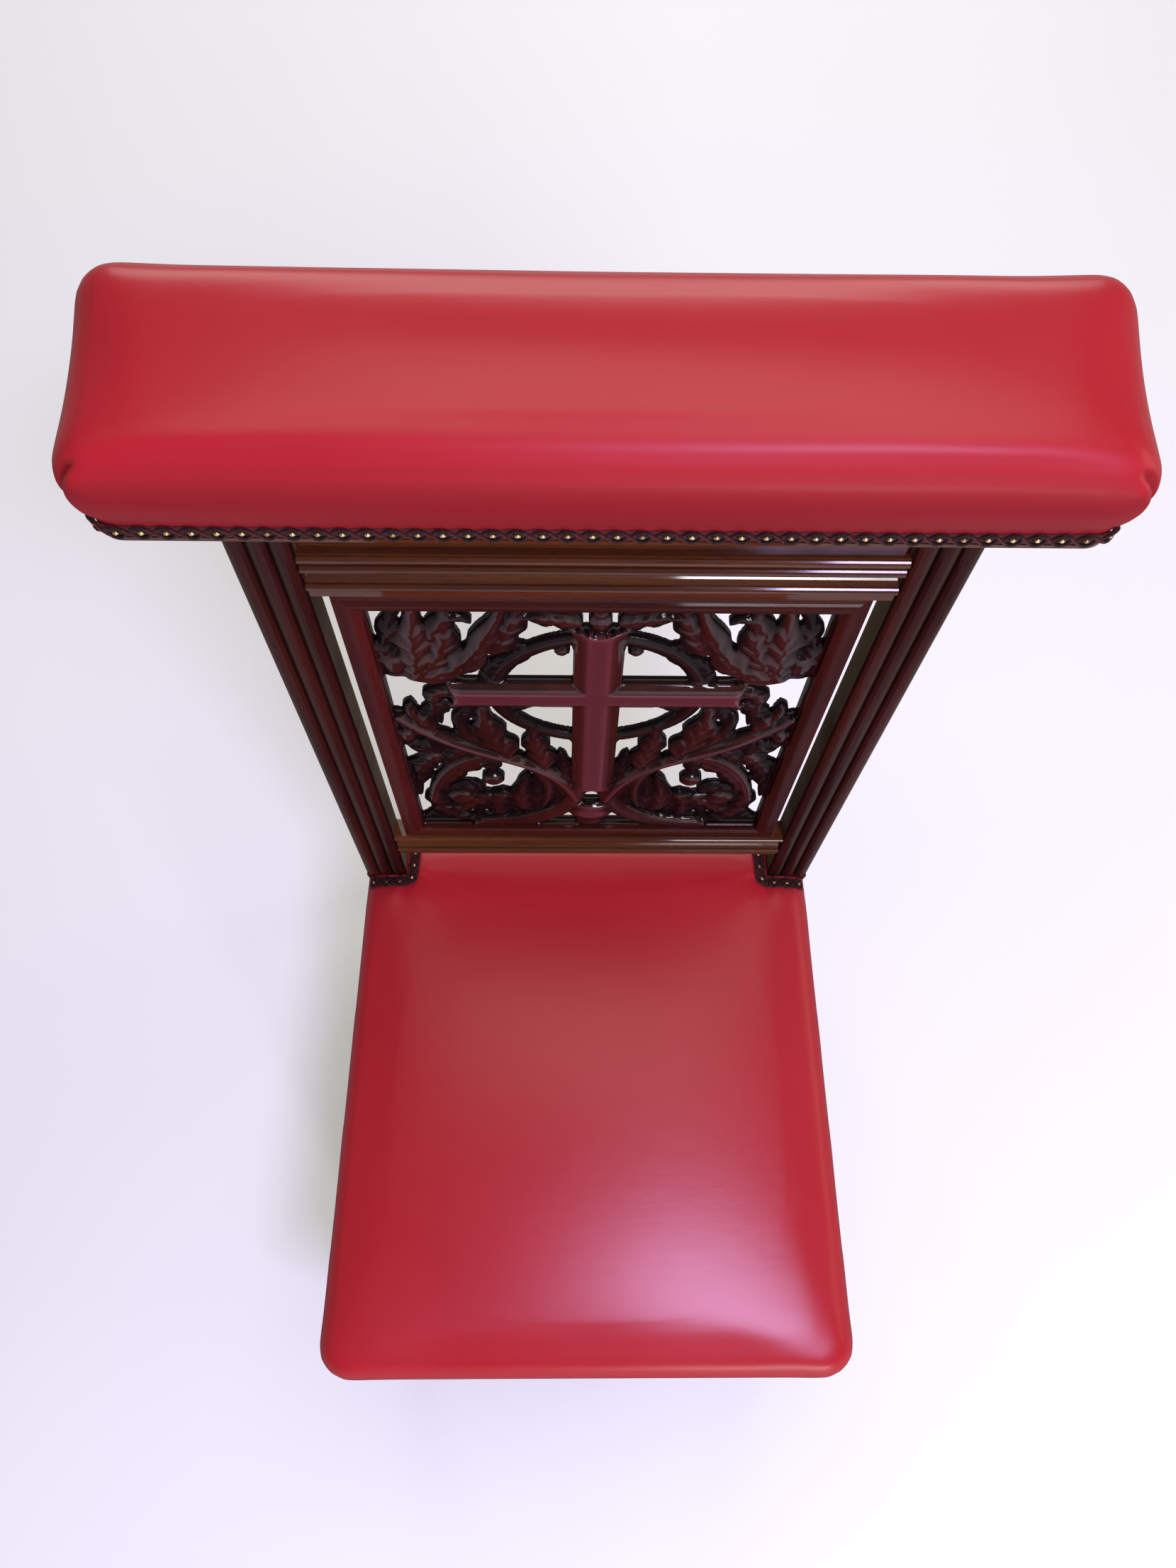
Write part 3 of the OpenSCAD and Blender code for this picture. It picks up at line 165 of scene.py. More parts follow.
def polished_wood(name, deep, warm, along, turn=(0, 0, 0), gloss=0.12, hollow=False, dull_sides=False):
    """Mahogany under french polish. Broad bands and fine dashes of pore run along one axis (0, 1 or 2) of the piece.
    A carving is darkened by painted shade in its hollows and lightened by a painted rosy sheen on its nearest faces,
    both from attributes. With dull sides, faces turned sideways have no polish left and are painted khaki as a
    reflection, the inner ones most; the outer flanks of the reeds are painted khaki as a reflection too, and their
    inner flanks and the grooves between the reeds are darkened by painted shade."""
    shade = Shade(name, Coat_Roughness=0.06, IOR=1.5, Coat_IOR=2.2, Specular_IOR_Level=0.02)
    on_grain = np.arange(3) == along
    bands = shade.noise(np.where(on_grain, 3.6, 60.0), 3.0, 0.55, turn)
    ribbon = shade.noise(np.where(on_grain, 1.26, 21.0), 1.0, 0.5, turn)
    pores = shade.noise(np.where(on_grain, 90.0, 1500.0), 1.0, 0.6, turn)
    pits = pores.between(0.60, 0.70)
    worn = shade.noise(9, 4.0, 0.6)
    # Dark of the pores, used also as painted shade on the inward flanks
    pore_colour_and_shade = tuple(c * 0.3 for c in deep)
    groove_shade = tuple(c * 0.15 for c in deep)
    colour = shade.mix((bands * 0.7 + ribbon * 0.5 - 0.1).between(0.28, 0.72), deep, warm)
    colour = shade.mix(pits * 0.55, colour, pore_colour_and_shade)
    rough = 0.50 + worn * 0.16 + pits * 0.1
    coat = gloss * (1 - worn.between(0.45, 0.8) * 0.5)
    if dull_sides:
        across, forth, _ = shade.parts(shade.node("ShaderNodeTexCoord", output="Normal"))
        here, _, height = shade.parts(shade.place())
        side = abs(across).between(0.93, 0.99)
        outward = across * here.math("SIGN", here)
        in_front = (0 - forth).between(0.2, 0.5) * height.between(SEAT_Z - 0.01, SEAT_Z)
        reed = (abs(here) - REEDS_FROM).wave(0.5 / REED_W)
        groove = (1 - abs(reed).between(0.0, 0.45)) * in_front
        flank = outward.between(0.15, 0.75)
        # Painted shade: the grooves between the reeds are darkened nearly to black
        colour = shade.mix(groove * 0.85, colour, groove_shade)
        # Painted reflection: the reeds' outer flanks are lightened to khaki
        colour = shade.mix(flank * 0.75, colour, KHAKI_REFLECTION)
        # Painted shade: flanks and faces turned towards the middle are darkened
        colour = shade.mix((-0.25 - outward).between(0.0, 0.6) * 0.6, colour, pore_colour_and_shade)
        # Painted reflection: faces turned sideways are coloured khaki in patches, the inner ones most
        mottle = shade.mix(worn.between(0.3, 0.7), SIDE_REFLECTION, PALE_SIDE_REFLECTION)
        colour = shade.mix(side * (0.9 - outward.between(-0.5, 0.5) * 0.55), colour, mottle)
        rough = rough + side * 0.35
        coat = coat * (1 - groove) * (1 - flank * 0.6) * (1 - side)
    if hollow:
        # Painted shade: the carving's hollows darken towards near black by an attribute
        low = shade.attribute("hollow")
        # Painted sheen: the carving's nearest faces, such as the cross, turn rosy by an attribute
        colour = shade.mix(shade.attribute("raised_sheen") * 0.75, colour, ROSY_SHEEN)
        colour = shade.mix(low.between(0.0, 0.65) * 0.95, colour, RECESS_SHADE)
        rough = rough + low * 0.22
        coat = coat * (1 - low.between(0.0, 0.6) * 0.7)
    normal = shade.bump(pores * -1.0, 0.00006, 0.5, shade.bump(bands, 0.00018, 0.35))
    return shade.set(Base_Color=colour, Roughness=rough, Coat_Weight=coat, Normal=normal)


def dress(names, material):
    """Gives CAD nodes their finish."""
    for name in names:
        cad[name].data.materials.clear()
        cad[name].data.materials.append(material)


LEAN = (RAKE, 0, 0)
mahogany_up = polished_wood(
    "mahogany_upright", (0.014, 0.002, 0.002), (0.050, 0.008, 0.005), 2, LEAN, gloss=0.05, dull_sides=True)
dress(["stile_left", "stile_right"], mahogany_up)


# Front legs: mahogany, turned with rings and a round foot below a square block.
# The seat rails are tenoned into the block, which is left square for them.

mahogany_leg = polished_wood("mahogany_leg", (0.018, 0.003, 0.002), (0.058, 0.010, 0.006), 2)
dress(["front_leg_left", "front_leg_right"], mahogany_leg)


# Seat rails and corner blocks: beech, planed and left bare, darkened by a century of dust.
# The rails are tenoned into the legs and stiles, and the blocks are glued and screwed into the corners.

def bare_beech(name, along):
    """Pale wood with short dark flecks along the grain and grime in broad patches."""
    shade = Shade(name)
    on_grain = np.arange(3) == along
    bands = shade.noise(np.where(on_grain, 9.6, 120.0), 3.0, 0.6)
    flecks = shade.noise(np.where(on_grain, 160.0, 900.0), 1.0, 0.5)
    grime = shade.noise(14, 4.0, 0.6)
    colour = shade.mix(bands.between(0.3, 0.7), (0.42, 0.25, 0.12), (0.58, 0.38, 0.20))
    colour = shade.mix(flecks.between(0.60, 0.68) * 0.7, colour, (0.22, 0.11, 0.05))
    colour = shade.mix(grime.between(0.45, 0.75) * 0.5, colour, (0.16, 0.11, 0.07))
    return shade.set(
        Base_Color=colour, Roughness=0.55 + grime * 0.25, Normal=shade.bump(bands + flecks * 0.5, 0.0003, 0.5))


beech_across = bare_beech("beech_across", 0)
beech_along = bare_beech("beech_along", 1)
dress(["seat_rail_front", "seat_rail_back", "corner_blocks", "panel_frame_dowels"], beech_across)
dress(["seat_rail_left", "seat_rail_right"], beech_along)


# Screws: turned steel, one from each corner block into its leg or stile, and two from the armrest board into
# the frieze rail. Damp has left brown spots on them.

def turned_steel(name, colour, rust):
    """Steel wire or screw with fine scratches and brown spots."""
    shade = Shade(name, Metallic=1.0)
    scratches = shade.noise((300, 300, 2500), 2.0, 0.6)
    spots = shade.noise(220, 4.0, 0.65).between(0.52, 0.66) * rust
    mixed = shade.mix(spots, colour, (0.16, 0.07, 0.035))
    return shade.set(
        Base_Color=mixed, Metallic=1.0 - spots * 0.8, Roughness=0.28 + scratches * 0.2 + spots * 0.3,
        Normal=shade.bump(scratches, 0.00004, 0.5))


dress(["corner_block_screws", "armrest_board_screws"], turned_steel("screw_steel", (0.56, 0.55, 0.53), 0.5))


# Frieze rail and lower rail: mahogany run with beads and a hollow, tenoned between the stiles.
# They are a warmer brown than the stiles and keep more of their polish.

mahogany_across = polished_wood("mahogany_rail", (0.042, 0.009, 0.003), (0.112, 0.033, 0.009), 0, gloss=0.26)
dress(["frieze_rail", "lower_back_rail"], mahogany_across)


# Panel frame: four mouldings mitred round the carving and dowelled between the two rails.
# The polish on them is thick, deep red and dull.

frame_up = polished_wood("frame_upright", (0.024, 0.003, 0.002), (0.074, 0.008, 0.007), 2, LEAN, gloss=0.03)
frame_across = polished_wood("frame_across", (0.024, 0.003, 0.002), (0.070, 0.012, 0.007), 0, gloss=0.06)
dress(["panel_frame_left", "panel_frame_right"], frame_up)
dress(["panel_frame_top", "panel_frame_bottom"], frame_across)


# Carved panel: one mahogany board, pierced and carved from the front with a cross on a ring among leaves.
# Each leaf is drawn along a curve and rounded over it; where leaves meet, the nearer one cuts across the other.

# Half width of the opening, its height over the seat along the stiles, and its height. The board runs on into a
# groove of the frame. Depths are in mm behind a plane that lies 2 mm before the reeds.
PANEL_HW, PANEL_Z, PANEL_H = 135.0, 100.5, 325.0
GROOVE = 4.2
DATUM = -2.0
NEAREST, DEEPEST, BACK_FACE = 5.5, 14.5, 17.0
LIP, LIP_BACK = 9.1, 13.9
# The cross: height of its arms as a share, half width of a bar, and radius and half width of the ring behind it
CROSS_AT = 0.676
BAR, RING, RING_HALF = 15.5, 66.0, 6.0
# Kind, four points of the curve, half width, lobes, and depth of its ridge.
# Points are shares of the panel's half width and height, on the left half; widths are shares of its half width.
LEAVES = [
    ("branch", (-0.10, 0.19), (-0.24, 0.40), (-0.66, 0.37), (-0.97, 0.58), 0.085, 0, 7.0),
    ("leaf", (-0.26, 0.32), (-0.28, 0.42), (-0.33, 0.45), (-0.305, 0.54), 0.080, 2, 8.0),
    ("leaf", (-0.15, 0.27), (-0.15, 0.32), (-0.16, 0.36), (-0.175, 0.40), 0.045, 1, 9.5),
    ("leaf", (-0.44, 0.39), (-0.51, 0.46), (-0.57, 0.53), (-0.555, 0.625), 0.095, 2, 7.5),
    ("leaf", (-0.57, 0.43), (-0.64, 0.48), (-0.70, 0.53), (-0.68, 0.59), 0.070, 1, 9.0),
    ("leaf", (-0.54, 0.43), (-0.68, 0.43), (-0.76, 0.39), (-0.79, 0.33), 0.080, 2, 9.0),
    ("leaf", (-0.82, 0.50), (-0.86, 0.56), (-0.94, 0.59), (-0.90, 0.635), 0.065, 1, 8.0),
    ("leaf", (-0.80, 0.49), (-0.90, 0.49), (-0.97, 0.52), (-1.00, 0.57), 0.055, 1, 9.5),
    ("leaf", (-0.68, 0.665), (-0.75, 0.70), (-0.81, 0.67), (-0.79, 0.59), 0.060, 2, 8.5),
    ("leaf", (-0.70, 0.64), (-0.78, 0.62), (-0.82, 0.59), (-0.77, 0.54), 0.075, 2, 9.5),
    ("leaf", (-0.58, 0.645), (-0.60, 0.61), (-0.62, 0.57), (-0.67, 0.545), 0.065, 2, 10.0),
    ("band", (-0.62, 0.008), (-0.25, 0.012), (-0.05, 0.12), (-0.095, 0.235), 0.080, 0, 7.5),
    ("band", (-0.40, 0.37), (-0.62, 0.42), (-0.84, 0.34), (-0.90, 0.15), 0.052, 0, 8.0),
    ("leaf", (-0.87, 0.20), (-0.90, 0.09), (-0.82, 0.015), (-0.58, 0.015), 0.078, 3, 9.0),
    ("leaf", (-0.58, 0.35), (-0.72, 0.34), (-0.80, 0.28), (-0.83, 0.19), 0.080, 2, 8.5),
    ("band", (-0.45, 0.365), (-0.29, 0.34), (-0.19, 0.24), (-0.27, 0.12), 0.045, 0, 9.0),
    ("leaf", (-0.545, 0.36), (-0.55, 0.33), (-0.54, 0.31), (-0.545, 0.28), 0.050, 1, 9.5),
    ("leaf", (-0.39, 0.09), (-0.41, 0.16), (-0.40, 0.22), (-0.35, 0.29), 0.065, 1, 8.5),
    ("leaf", (-0.52, 0.19), (-0.54, 0.13), (-0.55, 0.07), (-0.50, 0.02), 0.090, 2, 9.0),
    ("leaf", (-0.57, 0.18), (-0.68, 0.13), (-0.74, 0.09), (-0.84, 0.06), 0.085, 2, 8.5),
    ("leaf", (-0.47, 0.18), (-0.38, 0.14), (-0.33, 0.09), (-0.36, 0.04), 0.075, 2, 9.5),
    ("leaf", (-0.60, 0.20), (-0.68, 0.22), (-0.78, 0.22), (-0.84, 0.17), 0.065, 1, 9.5),
    ("leaf", (-0.80, 0.40), (-0.86, 0.36), (-0.97, 0.34), (-0.94, 0.23), 0.090, 2, 9.0),
    ("leaf", (-0.80, 0.41), (-0.88, 0.44), (-0.96, 0.42), (-0.99, 0.49), 0.085, 1, 9.5),
    ("leaf", (-0.69, 0.41), (-0.76, 0.43), (-0.83, 0.46), (-0.88, 0.53), 0.055, 1, 10.0),
    ("leaf", (-0.30, 0.09), (-0.32, 0.15), (-0.31, 0.22), (-0.30, 0.29), 0.055, 1, 9.5),
    ("leaf", (-0.20, 0.09), (-0.21, 0.14), (-0.20, 0.20), (-0.19, 0.26), 0.040, 1, 10.0),
    ("leaf", (-0.56, 0.17), (-0.62, 0.12), (-0.66, 0.08), (-0.66, 0.03), 0.065, 1, 10.0),
    ("leaf", (-0.49, 0.17), (-0.45, 0.12), (-0.43, 0.08), (-0.44, 0.03), 0.055, 1, 10.0),
    ("leaf", (-0.88, 0.30), (-0.95, 0.28), (-1.00, 0.23), (-0.97, 0.16), 0.060, 1, 10.5),
    ("leaf", (-0.84, 0.04), (-0.90, 0.05), (-0.96, 0.04), (-1.02, 0.01), 0.055, 1, 10.0),
    ("leaf", (-0.88, 0.745), (-0.58, 0.750), (-0.52, 0.86), (-0.40, 1.02), 0.090, 3, 7.0),
    ("leaf", (-0.84, 0.750), (-0.80, 0.82), (-0.84, 0.88), (-0.79, 1.02), 0.100, 2, 7.5),
    ("leaf", (-0.80, 0.76), (-0.71, 0.81), (-0.66, 0.88), (-0.675, 0.99), 0.085, 2, 8.0),
    ("leaf", (-0.86, 0.75), (-0.98, 0.77), (-0.99, 0.84), (-0.92, 0.91), 0.080, 2, 9.0),
    ("leaf", (-0.88, 0.86), (-0.94, 0.90), (-0.93, 0.95), (-0.84, 0.99), 0.055, 1, 9.5),
    ("leaf", (-0.74, 0.88), (-0.70, 0.95), (-0.62, 0.97), (-0.56, 0.935), 0.055, 1, 8.5),
    ("leaf", (-0.48, 0.83), (-0.42, 0.89), (-0.37, 0.94), (-0.33, 1.01), 0.080, 2, 8.5),
    ("leaf", (-0.08, 0.935), (-0.17, 0.950), (-0.25, 0.955), (-0.37, 0.955), 0.075, 2, 8.5),
    ("leaf", (-0.10, 0.975), (-0.17, 0.995), (-0.25, 1.00), (-0.33, 0.98), 0.060, 1, 9.0),
    ("leaf", (-0.47, 0.70), (-0.53, 0.74), (-0.50, 0.79), (-0.41, 0.815), 0.055, 2, 10.0),
    ("leaf", (-0.40, 0.86), (-0.31, 0.84), (-0.31, 0.81), (-0.37, 0.785), 0.035, 1, 10.0),
    ("leaf", (-0.44, 0.60), (-0.37, 0.61), (-0.33, 0.60), (-0.29, 0.625), 0.035, 1, 11.0),
    ("leaf", (0.00, 0.875), (-0.10, 0.895), (-0.14, 0.87), (-0.15, 0.845), 0.040, 1, 10.5),
]
# Buds: centre, half width and half height as shares, depth of the top
BUDS = [
    (-0.735, 0.165, 0.085, 0.040, 7.5), (-0.545, 0.265, 0.062, 0.032, 7.5), (-0.955, 0.490, 0.048, 0.034, 8.0),
    (-0.845, 0.385, 0.050, 0.030, 8.0), (-0.930, 0.795, 0.070, 0.040, 8.0), (-0.165, 0.840, 0.036, 0.022, 9.0),
    (-0.500, 0.175, 0.050, 0.022, 8.0),
]
# Turned outlines: height as a share, radius in mm
VASE = [
    (0.00, 7.4), (0.06, 9.0), (0.12, 11.2), (0.20, 12.0), (0.28, 11.0), (0.34, 9.0), (0.40, 11.5), (0.50, 15.0),
    (0.62, 16.4), (0.74, 16.2), (0.84, 14.6), (0.92, 15.2), (0.98, 14.4), (1.00, 12.0), (1.02, 0.0)]
BUD_OVER_CROSS = [
    (-0.02, 0.0), (0.00, 1.5), (0.06, 3.2), (0.25, 6.0), (0.45, 7.0), (0.62, 6.0), (0.72, 4.2), (0.80, 4.9),
    (0.90, 5.2), (1.00, 4.2), (1.30, 4.2)]


def leaf_relief(kind, s, t, half, lobes, top):
    """Half width of a leaf at a share t of its length, and the depth of its surface at s mm from the midrib.

    A leaf is widest before its middle, dips in between its lobes, and has a cut midrib with flutes slanting out
    of it. A band is hollowed by flutes, and a branch carries a raised rib."""
    if kind == "leaf":
        reach = half * np.sin(np.pi * t ** 0.62) ** 0.72
        reach = reach * (1 - 0.36 * np.abs(np.cos(np.pi * (lobes + 0.5) * t)) ** 3) + 1.1
    elif kind == "band":
        reach = half * (1 - 0.45 * t ** 2)
    else:
        reach = half * (1 - 0.30 * t) * (0.80 + 0.20 * np.cos(3 * np.pi * t))
    u = np.clip(np.abs(s) / reach, 0, 1)
    if kind == "leaf":
        flutes = np.abs(np.sin(np.pi * ((lobes + 1.5) * 1.4 * t - 0.9 * u))) * np.sin(np.pi * u ** 0.8)
        cut = 1.3 * np.exp(-(s / 0.8) ** 2) * (1 - 0.5 * t)
        return reach, top + 3.4 * u ** 2 + cut + 1.7 * flutes * (1 - 0.4 * t) + 1.2 * t ** 2 - 0.4
    if kind == "band":
        return reach, top + 3.2 * u ** 3 + 0.4 * (1 - np.cos(5 * np.pi * u))
    rib = 2.0 * np.exp(-(s / (0.28 * half)) ** 2)
    return reach, top + 1.2 + 3.2 * u ** 2 - rib + 1.6 * np.sin(4 * np.pi * (u + t)) * u * (1 - u)


def cross_bar(s, low, high):
    """How far inside a bar of the cross a point is, and the depth there: a flat face, a quirk and a slope.

    s is across the bar; low and high are the distances to its two ends, which flare and are notched."""
    end = np.clip(1 - np.minimum(low, high) / 13, 0, 1) ** 2
    half = BAR + 3.4 * end
    face = 7.0 + 2.0 * end
    k = np.abs(s) / half
    inside = np.minimum(half - np.abs(s), np.minimum(low, high) - 4.3 * (1 - k))
    slope = np.clip((np.abs(s) - face) / (half - face), 0, 1)
    return inside, NEAREST + 4.0 * slope + 0.9 * np.exp(-((np.abs(s) - face - 1.0) / 0.8) ** 2)


def carve(x, v):
    """How far inside the wood each point of the left half is, and how deep its surface lies, both in mm."""
    inside = np.full(x.shape, -50.0)
    depth = np.full(x.shape, 16.0)

    def lay(more, surface, place=slice(None)):
        """Adds a form: how far inside it each point of a place is, and its depth. The nearest surface counts."""
        below = depth[place]
        inside[place] = np.maximum(inside[place], more)
        depth[place] = np.where(more > 0, np.minimum(below, surface), below)

    steps = 48
    t = np.linspace(0, 1, steps + 1)[:, None]
    for kind, a, b, c, d, width, lobes, top in LEAVES:
        a, b, c, d = (np.array(q) * (PANEL_HW, PANEL_H) for q in (a, b, c, d))
        line = (1 - t) ** 3 * a + 3 * (1 - t) ** 2 * t * b + 3 * (1 - t) * t ** 2 * c + t ** 3 * d
        step = np.gradient(line, axis=0)
        length = np.linalg.norm(step, axis=1)
        way = step / length[:, None]
        half = width * PANEL_HW
        low, high = line.min(0) - half - 3, line.max(0) + half + 3
        near = (x > low[0]) & (x < high[0]) & (v > low[1]) & (v < high[1])
        off = np.stack([x[near], v[near]], -1)[:, None] - line[None]
        k = (off ** 2).sum(-1).argmin(1)
        off = off[np.arange(len(k)), k]
        along = (off * way[k]).sum(-1)
        s = off[:, 1] * way[k, 0] - off[:, 0] * way[k, 1]
        share = (k + along / length[k]) / steps
        beyond = np.maximum(0, np.maximum(-share, share - 1)) * steps * length[k]
        reach, surface = leaf_relief(kind, s, np.clip(share, 0, 1), half, lobes, top)
        lay(reach - np.abs(s) - beyond, surface, near)
    for bx, bv, rx, rv, top in BUDS:
        q = np.hypot((x - bx * PANEL_HW) / (rx * PANEL_HW), (v - bv * PANEL_H) / (rv * PANEL_H))
        lay((1 - q) * rx * PANEL_HW, top + 5.5 * (1 - np.sqrt(np.clip(1 - q ** 2, 0, 1))))
    off = np.abs(np.hypot(x, v - (CROSS_AT + 0.004) * PANEL_H) - RING)
    lay(RING_HALF - off, 10 + 2.2 * (off / RING_HALF) ** 3 + 0.7 * np.exp(-((off - 3.3) / 0.9) ** 2))
    lay(*cross_bar(x, v - 0.218 * PANEL_H, 0.925 * PANEL_H - v))
    lay(*cross_bar(v - CROSS_AT * PANEL_H, x + 0.71 * PANEL_HW, 999.0 - x))
    for outline, share, behind, bulge in (
            (VASE, v / (0.135 * PANEL_H), 10, 4.5), (BUD_OVER_CROSS, (v - PANEL_H + 30) / 30, 12, 6.0)):
        radius = np.interp(share, *zip(*outline))
        q = np.clip(np.abs(x) / np.maximum(radius, 0.1), 0, 1)
        surface = behind - bulge * np.sqrt(1 - q ** 2) * np.clip(radius / 13.5 + 0.35, 0, 1)
        surface = surface + 0.4 * (max(r for _, r in outline) - radius)
        lay(np.where(radius > 0.5, radius - np.abs(x), -5), surface)
    lay(1 - np.minimum(PANEL_HW + x, np.minimum(v, PANEL_H - v)), LIP)
    return inside, depth


def blocks(faces, count, grid):
    """Faces of the plain back: where 4 by 4 cells are all wood they become one, with every corner kept round it."""
    whole = np.zeros(count.shape, bool)
    merged = []
    for r in range(0, count.shape[0] - 3, 4):
        for c in range(0, count.shape[1] - 3, 4):
            if (count[r:r + 4, c:c + 4] == 4).all():
                whole[r:r + 4, c:c + 4] = True
                merged.append([
                    *grid[r, c:c + 4], *grid[r:r + 4, c + 4], *grid[r + 4, c + 4:c:-1], *grid[r + 4:r:-1, c]])
    r, c = np.nonzero((count == 4) & ~whole)
    merged += np.stack([grid[r, c], grid[r, c + 1], grid[r + 1, c + 1], grid[r + 1, c]], -1).tolist()
    return [list(map(int, f)) for f in merged] + faces[int((count == 4).sum()):]


def pierced_mesh(name, inside, front, back, place):
    """Closed mesh of a relief where inside is above 0: front and back surfaces and the wall round each hole.

    Cells of the grid that the outline crosses are cut where inside passes 0, by linear interpolation."""
    grid = np.full(inside.shape, -1)
    solid = inside > 0
    grid[solid] = np.arange(solid.sum())
    at_r, at_c = np.nonzero(solid)
    spots = [np.stack([at_c, at_r, front[solid], back[solid]], -1).astype(float)]
    cut = {}
    extra = []

    def crossing(r0, c0, r1, c1):
        """The vertex where the outline cuts the edge between two neighbours, one inside and one outside."""
        if not solid[r0, c0]:
            r0, c0, r1, c1 = r1, c1, r0, c0
        key = (r0, c0, r1, c1)
        if key not in cut:
            share = inside[r0, c0] / (inside[r0, c0] - inside[r1, c1])
            share = min(max(share, 0.08), 0.92)
            cut[key] = int(solid.sum()) + len(extra)
            extra.append((
                c0 + share * (c1 - c0), r0 + share * (r1 - r0), min(front[r0, c0] + 0.5, back[r0, c0] - 0.8),
                back[r0, c0]))
        return cut[key]

    count = solid[:-1, :-1].astype(int) + solid[:-1, 1:] + solid[1:, 1:] + solid[1:, :-1]
    r, c = np.nonzero(count == 4)
    faces = np.stack([grid[r, c], grid[r, c + 1], grid[r + 1, c + 1], grid[r + 1, c]], -1).tolist()
    rims = []
    for r, c in zip(*np.nonzero((count > 0) & (count < 4))):
        corners = [(r, c), (r, c + 1), (r + 1, c + 1), (r + 1, c)]
        loop = []
        left = None
        first = None
        for k in range(4):
            here, there = corners[k], corners[(k + 1) % 4]
            if solid[here]:
                loop.append(int(grid[here]))
            if solid[here] != solid[there]:
                mark = crossing(*here, *there)
                loop.append(mark)
                if solid[here]:
                    left = mark
                elif left is None:
                    first = mark
                else:
                    rims.append((left, mark))
                    left = None
        if left is not None:
            rims.append((left, first))
        faces.append(loop)
    spots = np.concatenate(spots + [np.array(extra)])
    total = len(spots)
    points = np.concatenate([place(spots[:, 0], spots[:, 1], spots[:, k]) for k in (2, 3)])
    walls = [(a, a + total, b + total, b) for a, b in rims]
    mesh = bpy.data.meshes.new(name)
    behind = [[k + total for k in f[::-1]] for f in blocks(faces, count, grid)]
    mesh.from_pydata(points.tolist(), [], faces + behind + walls)
    mesh.validate()
    mesh.polygons.foreach_set("use_smooth", np.ones(len(mesh.polygons), bool))
    return mesh, spots


def piece(name, mesh, *materials):
    """A finished object at the origin that stands with the chair."""
    made = bpy.data.objects.new(name, mesh)
    bpy.context.scene.collection.objects.link(made)
    for material in materials:
        mesh.materials.append(material)
    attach(made, "root")
    return made


def blurred(field, times):
    """Field smoothed over its neighbours a number of times."""
    for _ in range(times):
        for axis in (0, 1):
            field = (np.roll(field, 1, axis) + 2 * field + np.roll(field, -1, axis)) / 4
    return field


# Spacing of the carved surface's points in mm
GRID = 1.18
half_n = int(round((PANEL_HW + GROOVE) / GRID))
xs = np.linspace(-PANEL_HW - GROOVE, 0, half_n + 1)
vs = np.linspace(-GROOVE, PANEL_H + GROOVE, int(round((PANEL_H + 2 * GROOVE) / GRID)) + 1)
panel_x, panel_v = np.meshgrid(xs, vs)
wood, depth = carve(panel_x, panel_v)
outside = (panel_x < -PANEL_HW + 0.3) | (panel_v < 0.3) | (panel_v > PANEL_H - 0.3)
wood[outside] = 1
wood[:, 0] = wood[0] = wood[-1] = -1
depth = np.clip(depth, NEAREST, DEEPEST)
weight = blurred((wood > 0).astype(float), 1)
depth = np.where(wood > 0, blurred(np.where(wood > 0, depth, 0), 1) / np.maximum(weight, 0.05), DEEPEST)
depth[outside] = LIP
back = np.where(outside, LIP_BACK, BACK_FACE - 1.2 * (1 - np.clip(wood / 3, 0, 1)) ** 2)
wood, depth, back = (np.concatenate([field, field[:, -2::-1]], 1) for field in (wood, depth, back))
spacing = xs[1] - xs[0], vs[1] - vs[0]


def on_panel(column, row, n):
    """World places of points of the panel, given as grid column, grid row and depth behind DATUM in mm."""
    n = n + DATUM
    x = xs[0] + column * spacing[0]
    v = vs[0] + row * spacing[1] + PANEL_Z
    y = n * np.cos(RAKE) + v * np.sin(RAKE)
    z = v * np.cos(RAKE) - n * np.sin(RAKE)
    return np.stack([x / 1000, BACK_Y + y / 1000, SEAT_Z + z / 1000], -1)


panel_mesh, panel_spots = pierced_mesh("carved_relief", wood, depth, back, on_panel)
height = np.where(wood > 0, depth, BACK_FACE)
near_grid = tuple(np.clip(panel_spots[:, (1, 0)].round().astype(int), 0, np.array(height.shape) - 1).T)
# Painted shade: points below their blurred surroundings or deep in the relief, and the back, get the attribute that
# darkens them
low = np.clip(np.maximum((height - blurred(height, 6)) / 1.8 + 0.2, (height - 8.5) / 4.0), 0, 1)
# Painted sheen on the nearest faces of the carving
raised_sheen = np.clip((7.2 - height) / 1.2, 0, 1)
for word, field, behind in (("hollow", low, 0.9), ("raised_sheen", raised_sheen, 0.0)):
    values = np.full(len(panel_mesh.vertices), behind)
    values[:len(panel_spots)] = field[near_grid]
    panel_mesh.attributes.new(word, "FLOAT", "POINT").data.foreach_set("value", values)
carving = polished_wood("mahogany_carving", (0.015, 0.003, 0.002), (0.042, 0.008, 0.005), 2, LEAN, 0.22, hollow=True)
carved = piece("carved_relief", panel_mesh, carving)
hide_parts("carved_panel")


# Armrest board: mahogany with a rounded lip along its lower edge, tenoned on the stiles and screwed down.
# Only its lip and underside can be seen under the leather.

dress(["armrest_board"], mahogany_across)


# Webbing: bands of plain woven jute, tacked under the seat rails, four each way.
# They carry the springs.

